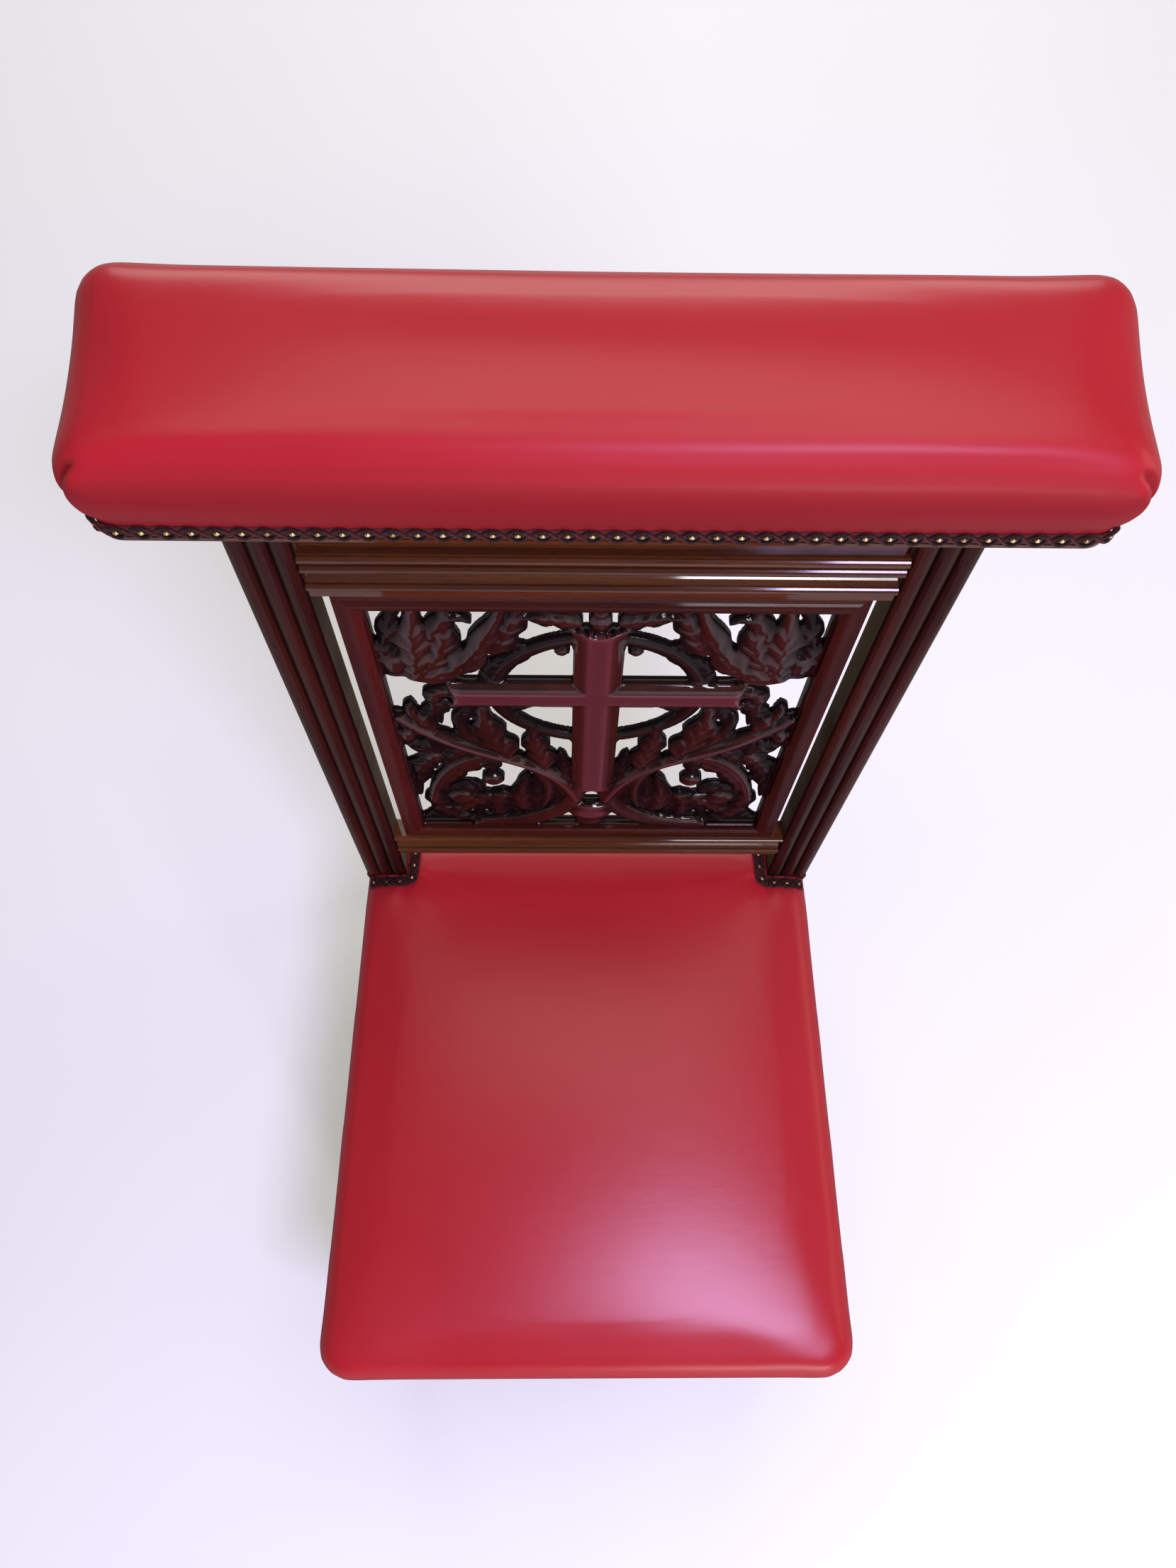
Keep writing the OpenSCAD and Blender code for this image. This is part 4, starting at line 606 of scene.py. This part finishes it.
def woven(name, light, dark, thread, fibres):
    """Plain weave seen from above or below: threads a set width apart pass over and under each other."""
    shade = Shade(name)
    across, forth, _ = shade.parts(shade.place())
    warp, weft = across.wave(0.5 / thread), forth.wave(0.5 / thread)
    over = warp * weft
    threads = abs(warp) + abs(weft)
    height = abs(over).power(0.5) * 0.6 + threads * 0.2
    hairs = shade.noise(fibres, 3.0, 0.7)
    patch = shade.noise(25, 3.0, 0.6)
    colour = shade.mix(height.between(0.1, 0.8) * (0.6 + patch * 0.6), dark, light)
    colour = shade.mix(hairs.between(0.6, 0.8) * 0.4, colour, tuple(min(1, c * 1.4) for c in light))
    return shade.set(
        Base_Color=colour, Roughness=0.85 + patch * 0.1, Sheen_Weight=0.2,
        Normal=shade.bump(height + hairs * 0.3, 0.0006, 0.8))


jute = woven("jute_webbing", (0.50, 0.37, 0.20), (0.20, 0.13, 0.065), 0.0022, 700)
dress(["webbing_lengthwise", "webbing_crosswise"], jute)


# Springs: five waisted coils of oiled wire that stand on the webbing.
# Hessian is drawn over them, and the seat's curled hair lies on it.

dress(["seat_springs"], turned_steel("spring_wire", (0.30, 0.27, 0.24), 1.0))
hessian = woven("hessian", (0.48, 0.35, 0.19), (0.12, 0.08, 0.04), 0.0014, 900)
dress(["spring_hessian"], hessian)


# Seat and armrest pads: hair stuffing under one red hide each, drawn down and nailed along the hem.
# Each starts a little lean, is swollen by cloth simulation, and is then cut to fit over its frame.

def red_leather(name):
    """Smooth upholstery hide: faint pebble grain, soft cloudy colour, rubbed to a satin shine on top and dull down
    the sides, which painted shade darkens."""
    shade = Shade(name, Coat_Roughness=0.3, IOR=1.5, Specular_IOR_Level=0.18)
    cloud = shade.noise(7, 3.0, 0.55)
    pebble = shade.node("ShaderNodeTexVoronoi", {"Vector": shade.place((900, 900, 900)), "Scale": 1.0})
    fine = shade.noise(1600, 2.0, 0.6)
    crease = shade.noise((26, 60, 26), 4.0, 0.55)
    colour = shade.mix(cloud.between(0.3, 0.7), (0.46, 0.011, 0.024), (0.56, 0.020, 0.039))
    colour = shade.mix(pebble.between(0.0, 0.5) * 0.12, (0.42, 0.010, 0.018), colour)
    _, _, upward = shade.parts(shade.node("ShaderNodeTexCoord", output="Normal"))
    side = 1 - upward.between(0.15, 0.95)
    edge = 1 - upward.between(0.85, 0.99)
    # Painted shade: the hide darkens as it turns away from upward, down the sides
    colour = shade.mix(side * 0.75, colour, (0.18, 0.003, 0.006))
    grain = shade.bump(pebble * 0.7 + fine * 0.3, 0.00006, 0.35)
    return shade.set(
        Base_Color=colour, Roughness=0.27 + cloud * 0.05 + fine * 0.04 + edge * 0.13 + side * 0.32,
        Coat_Weight=(1 - side) * (1 - edge * 0.7) * (0.36 + cloud * 0.25),
        Normal=shade.bump(crease, 0.0009, 0.30, grain))


def round_corners(hw, hd, radius, count):
    """Points of a rounded rectangle, evenly spaced and anticlockwise from the left end of its front, with the
    directions out of it."""
    straight = [2 * (hw - radius), 2 * (hd - radius)] * 2
    corner = radius * np.pi / 2
    s = np.arange(count) * (sum(straight) + 4 * corner) / count
    points, outward = np.zeros((count, 2)), np.zeros((count, 3))
    start = 0.0
    for k, length in enumerate(straight):
        a = (k - 1) * np.pi / 2
        out, way = np.array([np.cos(a), np.sin(a)]), np.array([-np.sin(a), np.cos(a)])
        half = length / 2
        middle = out * (hd if k % 2 == 0 else hw)
        on = (s >= start) & (s < start + length)
        points[on] = middle + way * (s[on] - start - half)[:, None]
        outward[on, :2] = out
        start += length
        on = (s >= start) & (s < start + corner)
        b = a + (s[on] - start) / radius
        turned = np.stack([np.cos(b), np.sin(b)], -1)
        points[on] = middle + way * half - out * radius + turned * radius
        outward[on, :2] = turned
        start += corner
    return points, outward


def round_faces(rows, sides, closed=False):
    """Faces of rows of points that each go round once, with a cap at both ends or, if closed, with none."""
    k = np.arange(rows if closed else rows - 1)[:, None]
    m = np.arange(sides)
    here, there, after = k * sides, (k + 1) % rows * sides, (m + 1) % sides
    faces = np.stack([here + m, here + after, there + after, there + m], -1).reshape(-1, 4).tolist()
    return faces if closed else [m[::-1].tolist(), *faces, ((rows - 1) * sides + m).tolist()]


def free_object(name, points, faces):
    """An object at the origin with a mesh of points in mm."""
    mesh = bpy.data.meshes.new(name)
    mesh.from_pydata((points / 1000).tolist(), [], faces)
    made = bpy.data.objects.new(name, mesh)
    bpy.context.scene.collection.objects.link(made)
    return made


def block(name, hw, hd, radius, rings, rise, shape):
    """Closed lean form of a pad, domed by a rise: rings of inset, height and what the two ends are set in besides.
    shape places its points."""
    count = 240
    loops = []
    for inset, z, ends in rings:
        w, d = hw - inset - ends, hd - inset
        loops.append(np.insert(round_corners(w, d, max(2.0, radius - inset), count)[0], 2, z, axis=1))
    floor_loops = [loops[0] * (share, share, 1) for share in np.linspace(0.06, 0.94, 9)]
    roof_loops = []
    for share in np.linspace(0.95, 0.04, 16):
        q = loops[-1] * (share, share, 1)
        q[:, 2] += rise * np.clip(1 - (q[:, 0] / w) ** 2, 0, 1) * np.clip(1 - (q[:, 1] / d) ** 2, 0, 1)
        roof_loops.append(q)
    loops = floor_loops + loops + roof_loops
    return free_object(name, shape(np.concatenate(loops)), round_faces(len(loops), count))


def settled(thing):
    """Replaces an object's mesh by what its modifiers make of it, and drops them."""
    mesh = bpy.data.meshes.new_from_object(thing.evaluated_get(bpy.context.evaluated_depsgraph_get()))
    thing.modifiers.clear()
    thing.data = mesh


def corners(mesh):
    """Places of a mesh's points, one row each."""
    points = np.empty(3 * len(mesh.vertices))
    mesh.vertices.foreach_get("co", points)
    return points.reshape(-1, 3)


def evened(mesh, moved, times):
    """Moves of a mesh's points, each averaged with its neighbours' a number of times, as taut hide evens them out."""
    ends = np.empty(2 * len(mesh.edges), int)
    mesh.edges.foreach_get("vertices", ends)
    a, b = np.concatenate([ends[0::2], ends[1::2]]), np.concatenate([ends[1::2], ends[0::2]])
    count = np.bincount(a, minlength=len(moved))
    for _ in range(times):
        around = np.stack([np.bincount(a, moved[b, k], len(moved)) for k in range(3)], -1)
        moved = (moved + around / count[:, None]) / 2
    return moved


# Frames that a pad's leather is given to swell
SWELLING = 20


def swollen(pad, voxel, cap, pressure, held):
    """Remeshes a pad and lets cloth pressure swell it by at most cap metres. Points where held is true stay."""
    remesh = pad.modifiers.new("remesh", "REMESH")
    remesh.mode = "VOXEL"
    remesh.voxel_size = voxel
    settled(pad)
    rest = corners(pad.data)
    group = pad.vertex_groups.new(name="held")
    group.add(np.nonzero(held(rest * 1000))[0].tolist(), 1.0, "REPLACE")
    cloth = pad.modifiers.new("cloth", "CLOTH")
    cloth.settings.quality = 5
    cloth.settings.mass = 0.3
    cloth.settings.use_pressure = True
    cloth.settings.uniform_pressure_force = pressure
    cloth.settings.vertex_group_mass = "held"
    cloth.settings.effector_weights.gravity = 0
    cloth.point_cache.frame_start = 1
    cloth.point_cache.frame_end = SWELLING
    for frame_number in range(1, SWELLING + 1):
        bpy.context.scene.frame_set(frame_number)
    after = corners(pad.evaluated_get(bpy.context.evaluated_depsgraph_get()).data)
    pad.modifiers.clear()
    pad.vertex_groups.clear()
    bpy.context.scene.frame_set(1)
    moved = evened(pad.data, after - rest, 60)
    length = np.linalg.norm(moved, axis=1, keepdims=True)
    rest = rest + moved * cap * np.tanh(length / cap) / np.maximum(length, 1e-9)
    pad.data.vertices.foreach_set("co", rest.ravel())
    pad.modifiers.new("finer", "SUBSURF").levels = 1
    settled(pad)
    return corners(pad.data)


def prism(name, outline, low, high):
    """Closed upright prism over an outline in mm, as a cutter."""
    points = np.concatenate([np.insert(outline, 2, z, axis=1) for z in (low, high)])
    return free_object(name, points, round_faces(2, len(outline)))


def hollowed(pad, cutters):
    """Cuts a pad where its frame stands, and keeps the cut edges crisp."""
    for cutter in cutters:
        cut = pad.modifiers.new("cut", "BOOLEAN")
        cut.operation = "DIFFERENCE"
        cut.solver = "EXACT"
        cut.object = cutter
        settled(pad)
        bpy.data.objects.remove(cutter)
    mesh = pad.data
    mesh.polygons.foreach_set("use_smooth", np.ones(len(mesh.polygons), bool))
    mesh.set_sharp_from_angle(angle=np.radians(40))


leather = red_leather("red_leather")

# Armrest pad, in mm: half sizes of its outside, corner radius, and height of the board's underside
ARM_HW, ARM_HD, ARM_R = 251.1, 60.6, 18.6
ARM_Y = 1000 * BACK_Y + 106.69
BOARD_Z = 825.5


def on_board(p):
    """Points in mm from the middle of the armrest board's underside, placed on the chair."""
    return p + (0, ARM_Y, BOARD_Z)


rolled = [(-2.8 + 25 * (1 - np.cos(a)), 44 + 25 * np.sin(a), 3.2) for a in np.radians(np.linspace(0, 90, 8))]
arm_rings = [(5.0, 5.3, 0), (5.0, 19, 0), (0.5, 30, 1.5), (-2.2, 40, 2.8)] + rolled
arm_pad = block("armrest_pad", ARM_HW, ARM_HD, ARM_R, arm_rings, 5, on_board)
skin = swollen(arm_pad, 0.004, 0.0035, 4.0, lambda p: p[:, 2] < BOARD_Z + 21) * 1000 - (0, ARM_Y, BOARD_Z)
# A fold at each front corner, where the leather of the end is tucked under that of the front: a groove that runs
# from the top over the edge and down, with a puffed lip on its front side
normals = np.empty(skin.size)
arm_pad.data.vertices.foreach_get("normal", normals)
normals = normals.reshape(-1, 3)
for side in (-1, 1):
    off = np.stack([skin[:, 0] * side - (ARM_HW - 3.0), -skin[:, 1] - (ARM_HD - 3.5)], -1)
    along = off @ (0.925, 0.38)
    across = off @ (0.38, -0.925) - 1.5 * np.sin(np.pi * np.clip(along / 14 + 1, 0, 1))
    lift = 1.2 * np.exp(-((across + 5.5) / 4) ** 2) - 3.2 * np.exp(-(across / 1.9) ** 2)
    lift = lift * np.clip((along + 17) / 6, 0, 1) * np.clip((skin[:, 2] - 20) / 14, 0, 1)
    lift[(off < -30).any(1)] = 0
    skin += normals * lift[:, None]
# The leather is drawn in a little at each nail
edge_s = np.where(np.abs(skin[:, 1]) > ARM_HD - 14, skin[:, 0], skin[:, 1])
tuck = 0.45 * np.cos(2 * np.pi * edge_s / 11.8) * np.exp(-((skin[:, 2] - 20) / 6) ** 2)
side_face = (np.abs(skin[:, 0]) > ARM_HW - 12) | (np.abs(skin[:, 1]) > ARM_HD - 12)
skin[side_face, :2] *= 1 - (tuck[side_face] / np.linalg.norm(skin[side_face, :2], axis=1))[:, None]
arm_pad.data.vertices.foreach_set("co", (on_board(skin) / 1000).ravel())
BOARD_IN = 6.5
board_outline = round_corners(ARM_HW - BOARD_IN, ARM_HD - BOARD_IN, ARM_R - BOARD_IN, 96)[0] + (0, ARM_Y)
hollowed(arm_pad, [prism("board_space", board_outline, BOARD_Z + 3, BOARD_Z + 19.15)])
arm_pad.data.materials.append(leather)
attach(arm_pad, "root")
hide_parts("armrest_leather", "armrest_stuffing")

# Seat pad, in mm from the face of the stiles: wider in front, over rails whose tops are at 278
STILE_Y = 1000 * BACK_Y
SEAT_D, SEAT_BACK, SEAT_R = 408.0, 30.25, 26.0
SEAT_HD, SEAT_MID = (SEAT_D + SEAT_BACK) / 2, (SEAT_BACK - SEAT_D) / 2
STILE_OUT, STILE_IN = 195.0, 1000 * REEDS_FROM


def seat_half(y):
    """Half width of the seat at a distance y from the face of the stiles."""
    return STILE_OUT + 20.5 * -y / SEAT_D


SEAT_HW = seat_half(SEAT_MID)


def on_seat(p):
    """Points in mm of a straight-sided seat, narrowed towards the back and placed on the chair."""
    y = p[:, 1] + SEAT_MID
    return np.stack([p[:, 0] * seat_half(y) / SEAT_HW, y + STILE_Y, p[:, 2]], -1)


rolled = [(-4.2 + 17 * (1 - np.cos(a)), 295 + 17 * np.sin(a), 0) for a in np.radians(np.linspace(0, 90, 7))]
seat_rings = [(1.5, 223, 0), (1.5, 238, 0), (-1.0, 262, 0), (-3.6, 282, 0)] + rolled
seat_pad = block("seat_pad", SEAT_HW, SEAT_HD, SEAT_R, seat_rings, 12, on_seat)
skin = swollen(seat_pad, 0.005, 0.0035, 4.0, lambda p: p[:, 2] < 240) * 1000
# Folds in the top where the hide is cut and drawn down beside the feet of the stiles, and the hollow there
TOP_FROM = 290
for side in (-1, 1):
    off = skin - (side * STILE_IN, STILE_Y, 318)
    reach = np.linalg.norm(off[:, :2], axis=1)
    turn_at = np.arctan2(off[:, 1], -side * off[:, 0])
    fold = np.sin(5 * turn_at) * np.clip(1 - reach / 70, 0, 1) ** 2 * np.clip(reach / 14, 0, 1)
    skin[:, 2] += np.where(skin[:, 2] > TOP_FROM, 0.9 * fold, 0)
    beside = np.maximum(np.abs(side * skin[:, 0] - 177) - 17, np.abs(skin[:, 1] - STILE_Y - 12) - 14)
    sunk = np.clip(1 - beside / 22, 0, 1)
    skin[:, 2] -= np.where(skin[:, 2] > TOP_FROM, 3.0 * sunk ** 2, 0)
seat_pad.data.vertices.foreach_set("co", (skin / 1000).ravel())
RAIL_IN = 5.9
frame_outline = round_corners(SEAT_HW - RAIL_IN, SEAT_HD - RAIL_IN, SEAT_R - RAIL_IN, 96)[0]
frame_outline = on_seat(np.insert(frame_outline, 2, 0, axis=1))[:, :2]
notch_in, notch_y = STILE_IN - 0.3, STILE_Y - 0.3
notches = []
for side in (-1, 1):
    outline = [(notch_in, notch_y), (230, notch_y), (230, STILE_Y + 60), (notch_in, STILE_Y + 60)]
    notches.append(prism("stile_space", np.array(outline)[::side] * (side, 1), 200, 400))
hollowed(seat_pad, [prism("rail_space", frame_outline, 210, 279.0)] + notches)
seat_pad.data.materials.append(leather)
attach(seat_pad, "root")
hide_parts("seat_leather", "seat_stuffing")


# Gimp: braid of charcoal rings over a maroon pair of cords that cross between them, glued over the nailed hem.
# It runs round the armrest board, round the seat's lower edge and, lying flat, round the foot of each stile.

def cord_shade(name, dark, light, turns):
    """Spun thread: fine slanting ply, worn paler on its crowns, dull with a soft sheen."""
    shade = Shade(name, Specular_IOR_Level=0.12, Sheen_Weight=0.04, Sheen_Roughness=0.5)
    ply = shade.noise(turns, 2.0, 0.6)
    worn = shade.noise(40, 3.0, 0.6)
    colour = shade.mix(ply.between(0.35, 0.65) * (0.5 + worn * 0.7), dark, light)
    return shade.set(Base_Color=colour, Roughness=0.62 + ply * 0.2, Normal=shade.bump(ply, 0.0003, 0.8))


charcoal = cord_shade("gimp_charcoal", (0.010, 0.004, 0.003), (0.044, 0.018, 0.014), 1500)
maroon = cord_shade("gimp_maroon", (0.040, 0.005, 0.005), (0.130, 0.024, 0.022), 1500)
# In mm: from nail to nail, half width of the ground, swing of the maroon cords, size of a charcoal ring
PITCH = 11.8
GROUND, SWING, LOOP = 4.4, 4.6, 4.5


def strip(points, outward, ups, closed):
    """A run of gimp along points in mm: returns a function from places along it to point, outward and up."""
    if closed:
        points, outward, ups = (np.concatenate([a, a[:1]]) for a in (points, outward, ups))
    s = np.concatenate([[0], np.cumsum(np.linalg.norm(np.diff(points, axis=0), axis=1))])

    def at(where):
        where = where % s[-1] if closed else np.clip(where, 0, s[-1])
        found = []
        for field in (points, outward, ups):
            found.append(np.stack([np.interp(where, s, field[:, k]) for k in range(3)], -1))
        for field in found[1:]:
            field /= np.linalg.norm(field, axis=1, keepdims=True)
        return found

    return at, s[-1]


def tube(line, outward, radius, closed, sides=5):
    """Cord of round section along a line of points."""
    way = np.roll(line, -1, 0) - np.roll(line, 1, 0) if closed else np.gradient(line, axis=0)
    way /= np.linalg.norm(way, axis=1, keepdims=True)
    across = np.cross(way, outward)
    across /= np.linalg.norm(across, axis=1, keepdims=True)
    lift = np.cross(across, way)
    a = 2 * np.pi * np.arange(sides) / sides
    around = np.cos(a)[:, None] * lift[:, None] + np.sin(a)[:, None] * across[:, None]
    return (line[:, None] + radius * around).reshape(-1, 3), round_faces(len(line), sides, closed)


def dome(centre, outward, up, radius, height, sides, rings):
    """Low round dome that stands on a point, closed underneath."""
    a = 2 * np.pi * np.arange(sides)[:, None] / sides
    b = np.pi / 2 * np.arange(rings)[:, None, None] / rings
    around = np.cos(a) * np.cross(up, outward) + np.sin(a) * up
    points = centre + radius * np.cos(b) * around + height * np.sin(b) * outward
    points = np.append(points.reshape(-1, 3), [centre + height * outward], 0)
    faces = round_faces(rings, sides)
    top = faces.pop()
    return points, faces + [[here, after, rings * sides] for here, after in zip(top, top[1:] + top[:1])]


def gathered(name, parts, *materials):
    """One mesh in metres from parts of points in mm, faces and material number."""
    points, faces, kinds = [], [], []
    start = 0
    for p, f, kind in parts:
        points.append(p)
        faces += [[k + start for k in face] for face in f]
        kinds += [kind] * len(f)
        start += len(p)
    mesh = bpy.data.meshes.new(name)
    mesh.from_pydata((np.concatenate(points) / 1000).tolist(), [], faces)
    mesh.polygons.foreach_set("use_smooth", np.ones(len(faces), bool))
    made = piece(name, mesh, *materials)
    mesh.polygons.foreach_set("material_index", kinds)
    return made


def gimp_on(name, points, outward, ups=(0, 0, 1), closed=False):
    """Braid and nails along a run of points in mm with the directions out of it and up across it. Returns the braid."""
    at, length = strip(points, outward, np.broadcast_to(ups, points.shape), closed)
    cells = 2 * int(round(length / PITCH / 2)) if closed else int(round(length / PITCH))
    pitch = length / cells
    n = 10 * cells + (0 if closed else 1)
    s = np.arange(n) * length / (10 * cells)
    p, out, up = at(s)
    turn_at = 2 * np.pi * s / pitch
    parts = []
    # Flat woven ground, turned with its faces outwards whichever way the run goes
    section = (-GROUND, 0.05), (-GROUND, 0.7), (GROUND, 0.7), (GROUND, 0.05)
    ground = np.stack([p + up * z + out * lift for z, lift in section], 1)
    faces = round_faces(n, 4, closed)
    if (np.cross(out, np.gradient(p, axis=0)) * up).sum() > 0:
        faces = [[f[0], *f[:0:-1]] for f in faces]
    parts.append((ground.reshape(-1, 3), faces, 1))
    # Two maroon cords that cross between the rings
    for sign in (-1, 1):
        wave = sign * SWING * np.cos(turn_at / 2)
        over = 1.25 + 0.5 * sign * np.sin(turn_at / 2)
        parts.append((*tube(p + up * wave[:, None] + out * over[:, None], out, 0.7, closed), 1))
    # Charcoal rings with filled middles, and a nail through each
    centres = (np.arange(cells) + (0 if closed else 0.5)) * pitch
    heads = []
    ring_at = 2 * np.pi * np.arange(14) / 14
    for s0, a, b, c in zip(centres, *at(centres)):
        where, out, up = at(s0 + LOOP * np.sin(ring_at))
        loop = where + up * (LOOP * np.cos(ring_at))[:, None] + out * (1.3 + 0.35 * np.cos(2 * ring_at))[:, None]
        parts.append((*tube(loop, out, 0.95, True), 0))
        parts.append((*dome(a + b * 0.6, b, c, 2.9, 1.1, 8, 2), 0))
        heads.append((*dome(a + b * 1.3, b, c, 1.7, 1.2, 9, 3), 0))
    braid = gathered(name, parts, charcoal, maroon)
    nails = gathered(name + "_nails", heads, nail_brass)
    return braid


def aged_brass(name):
    """Stamped brass heads, bright brass with brown tarnish in patches."""
    shade = Shade(name, Metallic=1.0)
    tarnish = shade.noise(160, 3.0, 0.6)
    fine = shade.noise(1200, 2.0, 0.5)
    colour = shade.mix(tarnish.between(0.42, 0.62), (0.78, 0.56, 0.24), (0.36, 0.22, 0.10))
    return shade.set(Base_Color=colour, Roughness=0.22 + tarnish * 0.25, Normal=shade.bump(fine, 0.00004, 0.5))


nail_brass = aged_brass("nail_brass")
# Height of the braid's middle over the board's underside, and over the floor
ARM_HEM, SEAT_HEM = 11.8, 229.5
flat_path, facing = round_corners(ARM_HW - 4.85, ARM_HD - 4.85, ARM_R - 5.0, 900)
path = on_board(np.insert(flat_path, 2, ARM_HEM, axis=1))
braid = gimp_on("armrest_braid", path, facing, closed=True)
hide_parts("armrest_gimp")

# Round the seat it starts and ends at the stiles
flat_path, facing = round_corners(SEAT_HW - 1.35, SEAT_HD - 1.35, SEAT_R - 1.35, 2400)
path = on_seat(np.insert(flat_path, 2, SEAT_HEM, axis=1))
keep = path[:, 1] < STILE_Y - 1.0
order = np.roll(np.arange(2400), -int(np.argmin(keep)))
order = order[keep[order]]
braid = gimp_on("seat_braid", path[order], facing[order])
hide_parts("seat_gimp")

# Round the feet of the stiles the braid follows the leather's top, found by looking straight down on it
tree = BVHTree.FromObject(seat_pad, bpy.context.evaluated_depsgraph_get())
for side, word in ((-1, "left"), (1, "right")):
    run = [(x, STILE_Y - 7.0) for x in np.linspace(192, STILE_IN + 1, 40)]
    run += [(STILE_IN + 1 - 8 * np.sin(a), STILE_Y + 1 - 8 * np.cos(a)) for a in np.linspace(0, np.pi / 2, 12)[1:]]
    run += [(STILE_IN - 7, y) for y in np.linspace(STILE_Y + 2, STILE_Y + 24, 26)[1:]]
    found = []
    for x, y in run:
        hit, normal, _, _ = tree.ray_cast(Vector((side * x / 1000, y / 1000, 0.5)), Vector((0, 0, -1)))
        found.append((side * x, y, hit.z * 1000 + 0.1, *normal))
    found = np.array(found)
    way = np.gradient(found[:, :3], axis=0)
    away = np.cross(way, found[:, 3:]) * side
    away /= np.linalg.norm(away, axis=1, keepdims=True)
    gimp_on(f"notch_braid_{word}", found[:, :3], found[:, 3:], away)


# Webbing tacks: blued steel with low round heads, driven up into the seat rails.
# Each end of each band is held by five, in two rows.

def tack_rows(name, axis):
    """Centres of the tacks of a CAD node's bands in mm. The bands lie side by side on one axis, 0 or 1, and run
    along the other."""
    spots = corners(cad[name].data) * 1000
    low, high = spots.min(0), spots.max(0)
    found = []
    for edges in np.unique(spots[:, axis].round(2)).reshape(-1, 2):
        for k, across in enumerate(np.linspace(edges[0] + 6, edges[1] - 6, 5)):
            inward = 5.0 + 6.0 * (k % 2)
            for along in (low[1 - axis] + inward, high[1 - axis] - inward):
                found.append((across, along, low[2]) if axis == 0 else (along, across, low[2]))
    return found


downward, forward = np.array([0.0, 0.0, -1.0]), np.array([0.0, 1.0, 0.0])
spots = tack_rows("webbing_lengthwise", 0) + tack_rows("webbing_crosswise", 1)
heads = [(*dome(np.array(spot), downward, forward, 3.0, 1.1, 8, 2), 0) for spot in spots]
tacks = gathered("webbing_tacks", heads, turned_steel("tack_steel", (0.16, 0.16, 0.19), 0.8))


# Camera, floor and light of the photograph: from above the seat, looking down and a little forward.
# The camera's place and angles come from a fit to the outline; FOCAL counts rows of the picture, PICTURE_ROWS high.

CAMERA_AT = (-0.020145, BACK_Y - 0.225029, SEAT_Z + 1.032)
TILT, YAW, ROLL = 0.2919, -0.0673, 0.0691
FOCAL, PICTURE_ROWS = 1674.4, 2212
fwd = np.array([0, np.sin(TILT), -np.cos(TILT)])
up = np.array([0, np.cos(TILT), np.sin(TILT)])
right = np.array([1.0, 0, 0])
turn = np.array([[np.cos(YAW), -np.sin(YAW), 0], [np.sin(YAW), np.cos(YAW), 0], [0, 0, 1]])
fwd, up, right = turn @ fwd, turn @ up, turn @ right
right, up = np.cos(ROLL) * right + np.sin(ROLL) * up, -np.sin(ROLL) * right + np.cos(ROLL) * up
camera_data = bpy.data.cameras.new("camera")
camera_data.sensor_fit = "VERTICAL"
camera_data.sensor_height = 36
camera_data.lens = FOCAL * camera_data.sensor_height / PICTURE_ROWS
camera = bpy.data.objects.new("camera", camera_data)
pose = np.eye(4)
pose[:3] = np.column_stack([right, up, -fwd, CAMERA_AT])
camera.matrix_world = Matrix(pose.tolist())
bpy.context.scene.collection.objects.link(camera)
bpy.context.scene.camera = camera

floor_mesh = bpy.data.meshes.new("floor")
floor_mesh.from_pydata([(-6, -6, 0), (6, -6, 0), (6, 6, 0), (-6, 6, 0)], [], [(0, 1, 2, 3)])
floor = bpy.data.objects.new("floor", floor_mesh)
bpy.context.scene.collection.objects.link(floor)
floor_shade = Shade("floor", Roughness=0.9)
mottle = floor_shade.noise(2, 3.0, 0.5)
floor_mesh.materials.append(floor_shade.set(Base_Color=floor_shade.mix(mottle, (0.92, 0.92, 0.92), (0.95, 0.95, 0.95))))


def lamp(name, place, aim, width, height, power, colour):
    """A rectangular soft light at a place, turned to a point."""
    data = bpy.data.lights.new(name, "AREA")
    data.shape = "RECTANGLE"
    data.size, data.size_y = width, height
    data.energy, data.color = power, colour
    light = bpy.data.objects.new(name, data)
    light.location = place
    light.rotation_euler = (Vector(aim) - Vector(place)).to_track_quat("-Z", "Y").to_euler()
    bpy.context.scene.collection.objects.link(light)


lamp("skylight", (0.50, -0.85, 2.5), (0.1, -0.2, 0.3), 0.62, 0.3, 35, (0.64, 0.56, 1.0))
lamp("window", (0.72, -2.5, 0.95), (0, 0, 0.5), 0.85, 0.5, 40, (0.90, 0.94, 1.0))
lamp("ceiling", (0.1, 0.6, 2.6), (0, 0.1, 0.8), 1.7, 1.4, 15, (1.0, 0.97, 0.86))
lamp("far_window", (0, 2.4, 1.4), (0, 0.5, 0), 2.6, 1.0, 22, (1.0, 0.98, 0.96))
lamp("left_room", (-2.4, -0.4, 1.2), (0, 0, 0.5), 1.4, 1.6, 1.5, (1.0, 0.92, 0.74))
lamp("right_room", (2.4, 0.2, 1.3), (0, 0, 0.5), 1.4, 1.6, 13, (1.0, 0.93, 0.80))
world = bpy.data.worlds.new("room")
world.use_nodes = True
world.node_tree.nodes["Background"].inputs["Color"].default_value = (1.0, 0.98, 0.93, 1)
world.node_tree.nodes["Background"].inputs["Strength"].default_value = 0.2
bpy.context.scene.world = world
bpy.context.scene.view_settings.view_transform = "Standard"
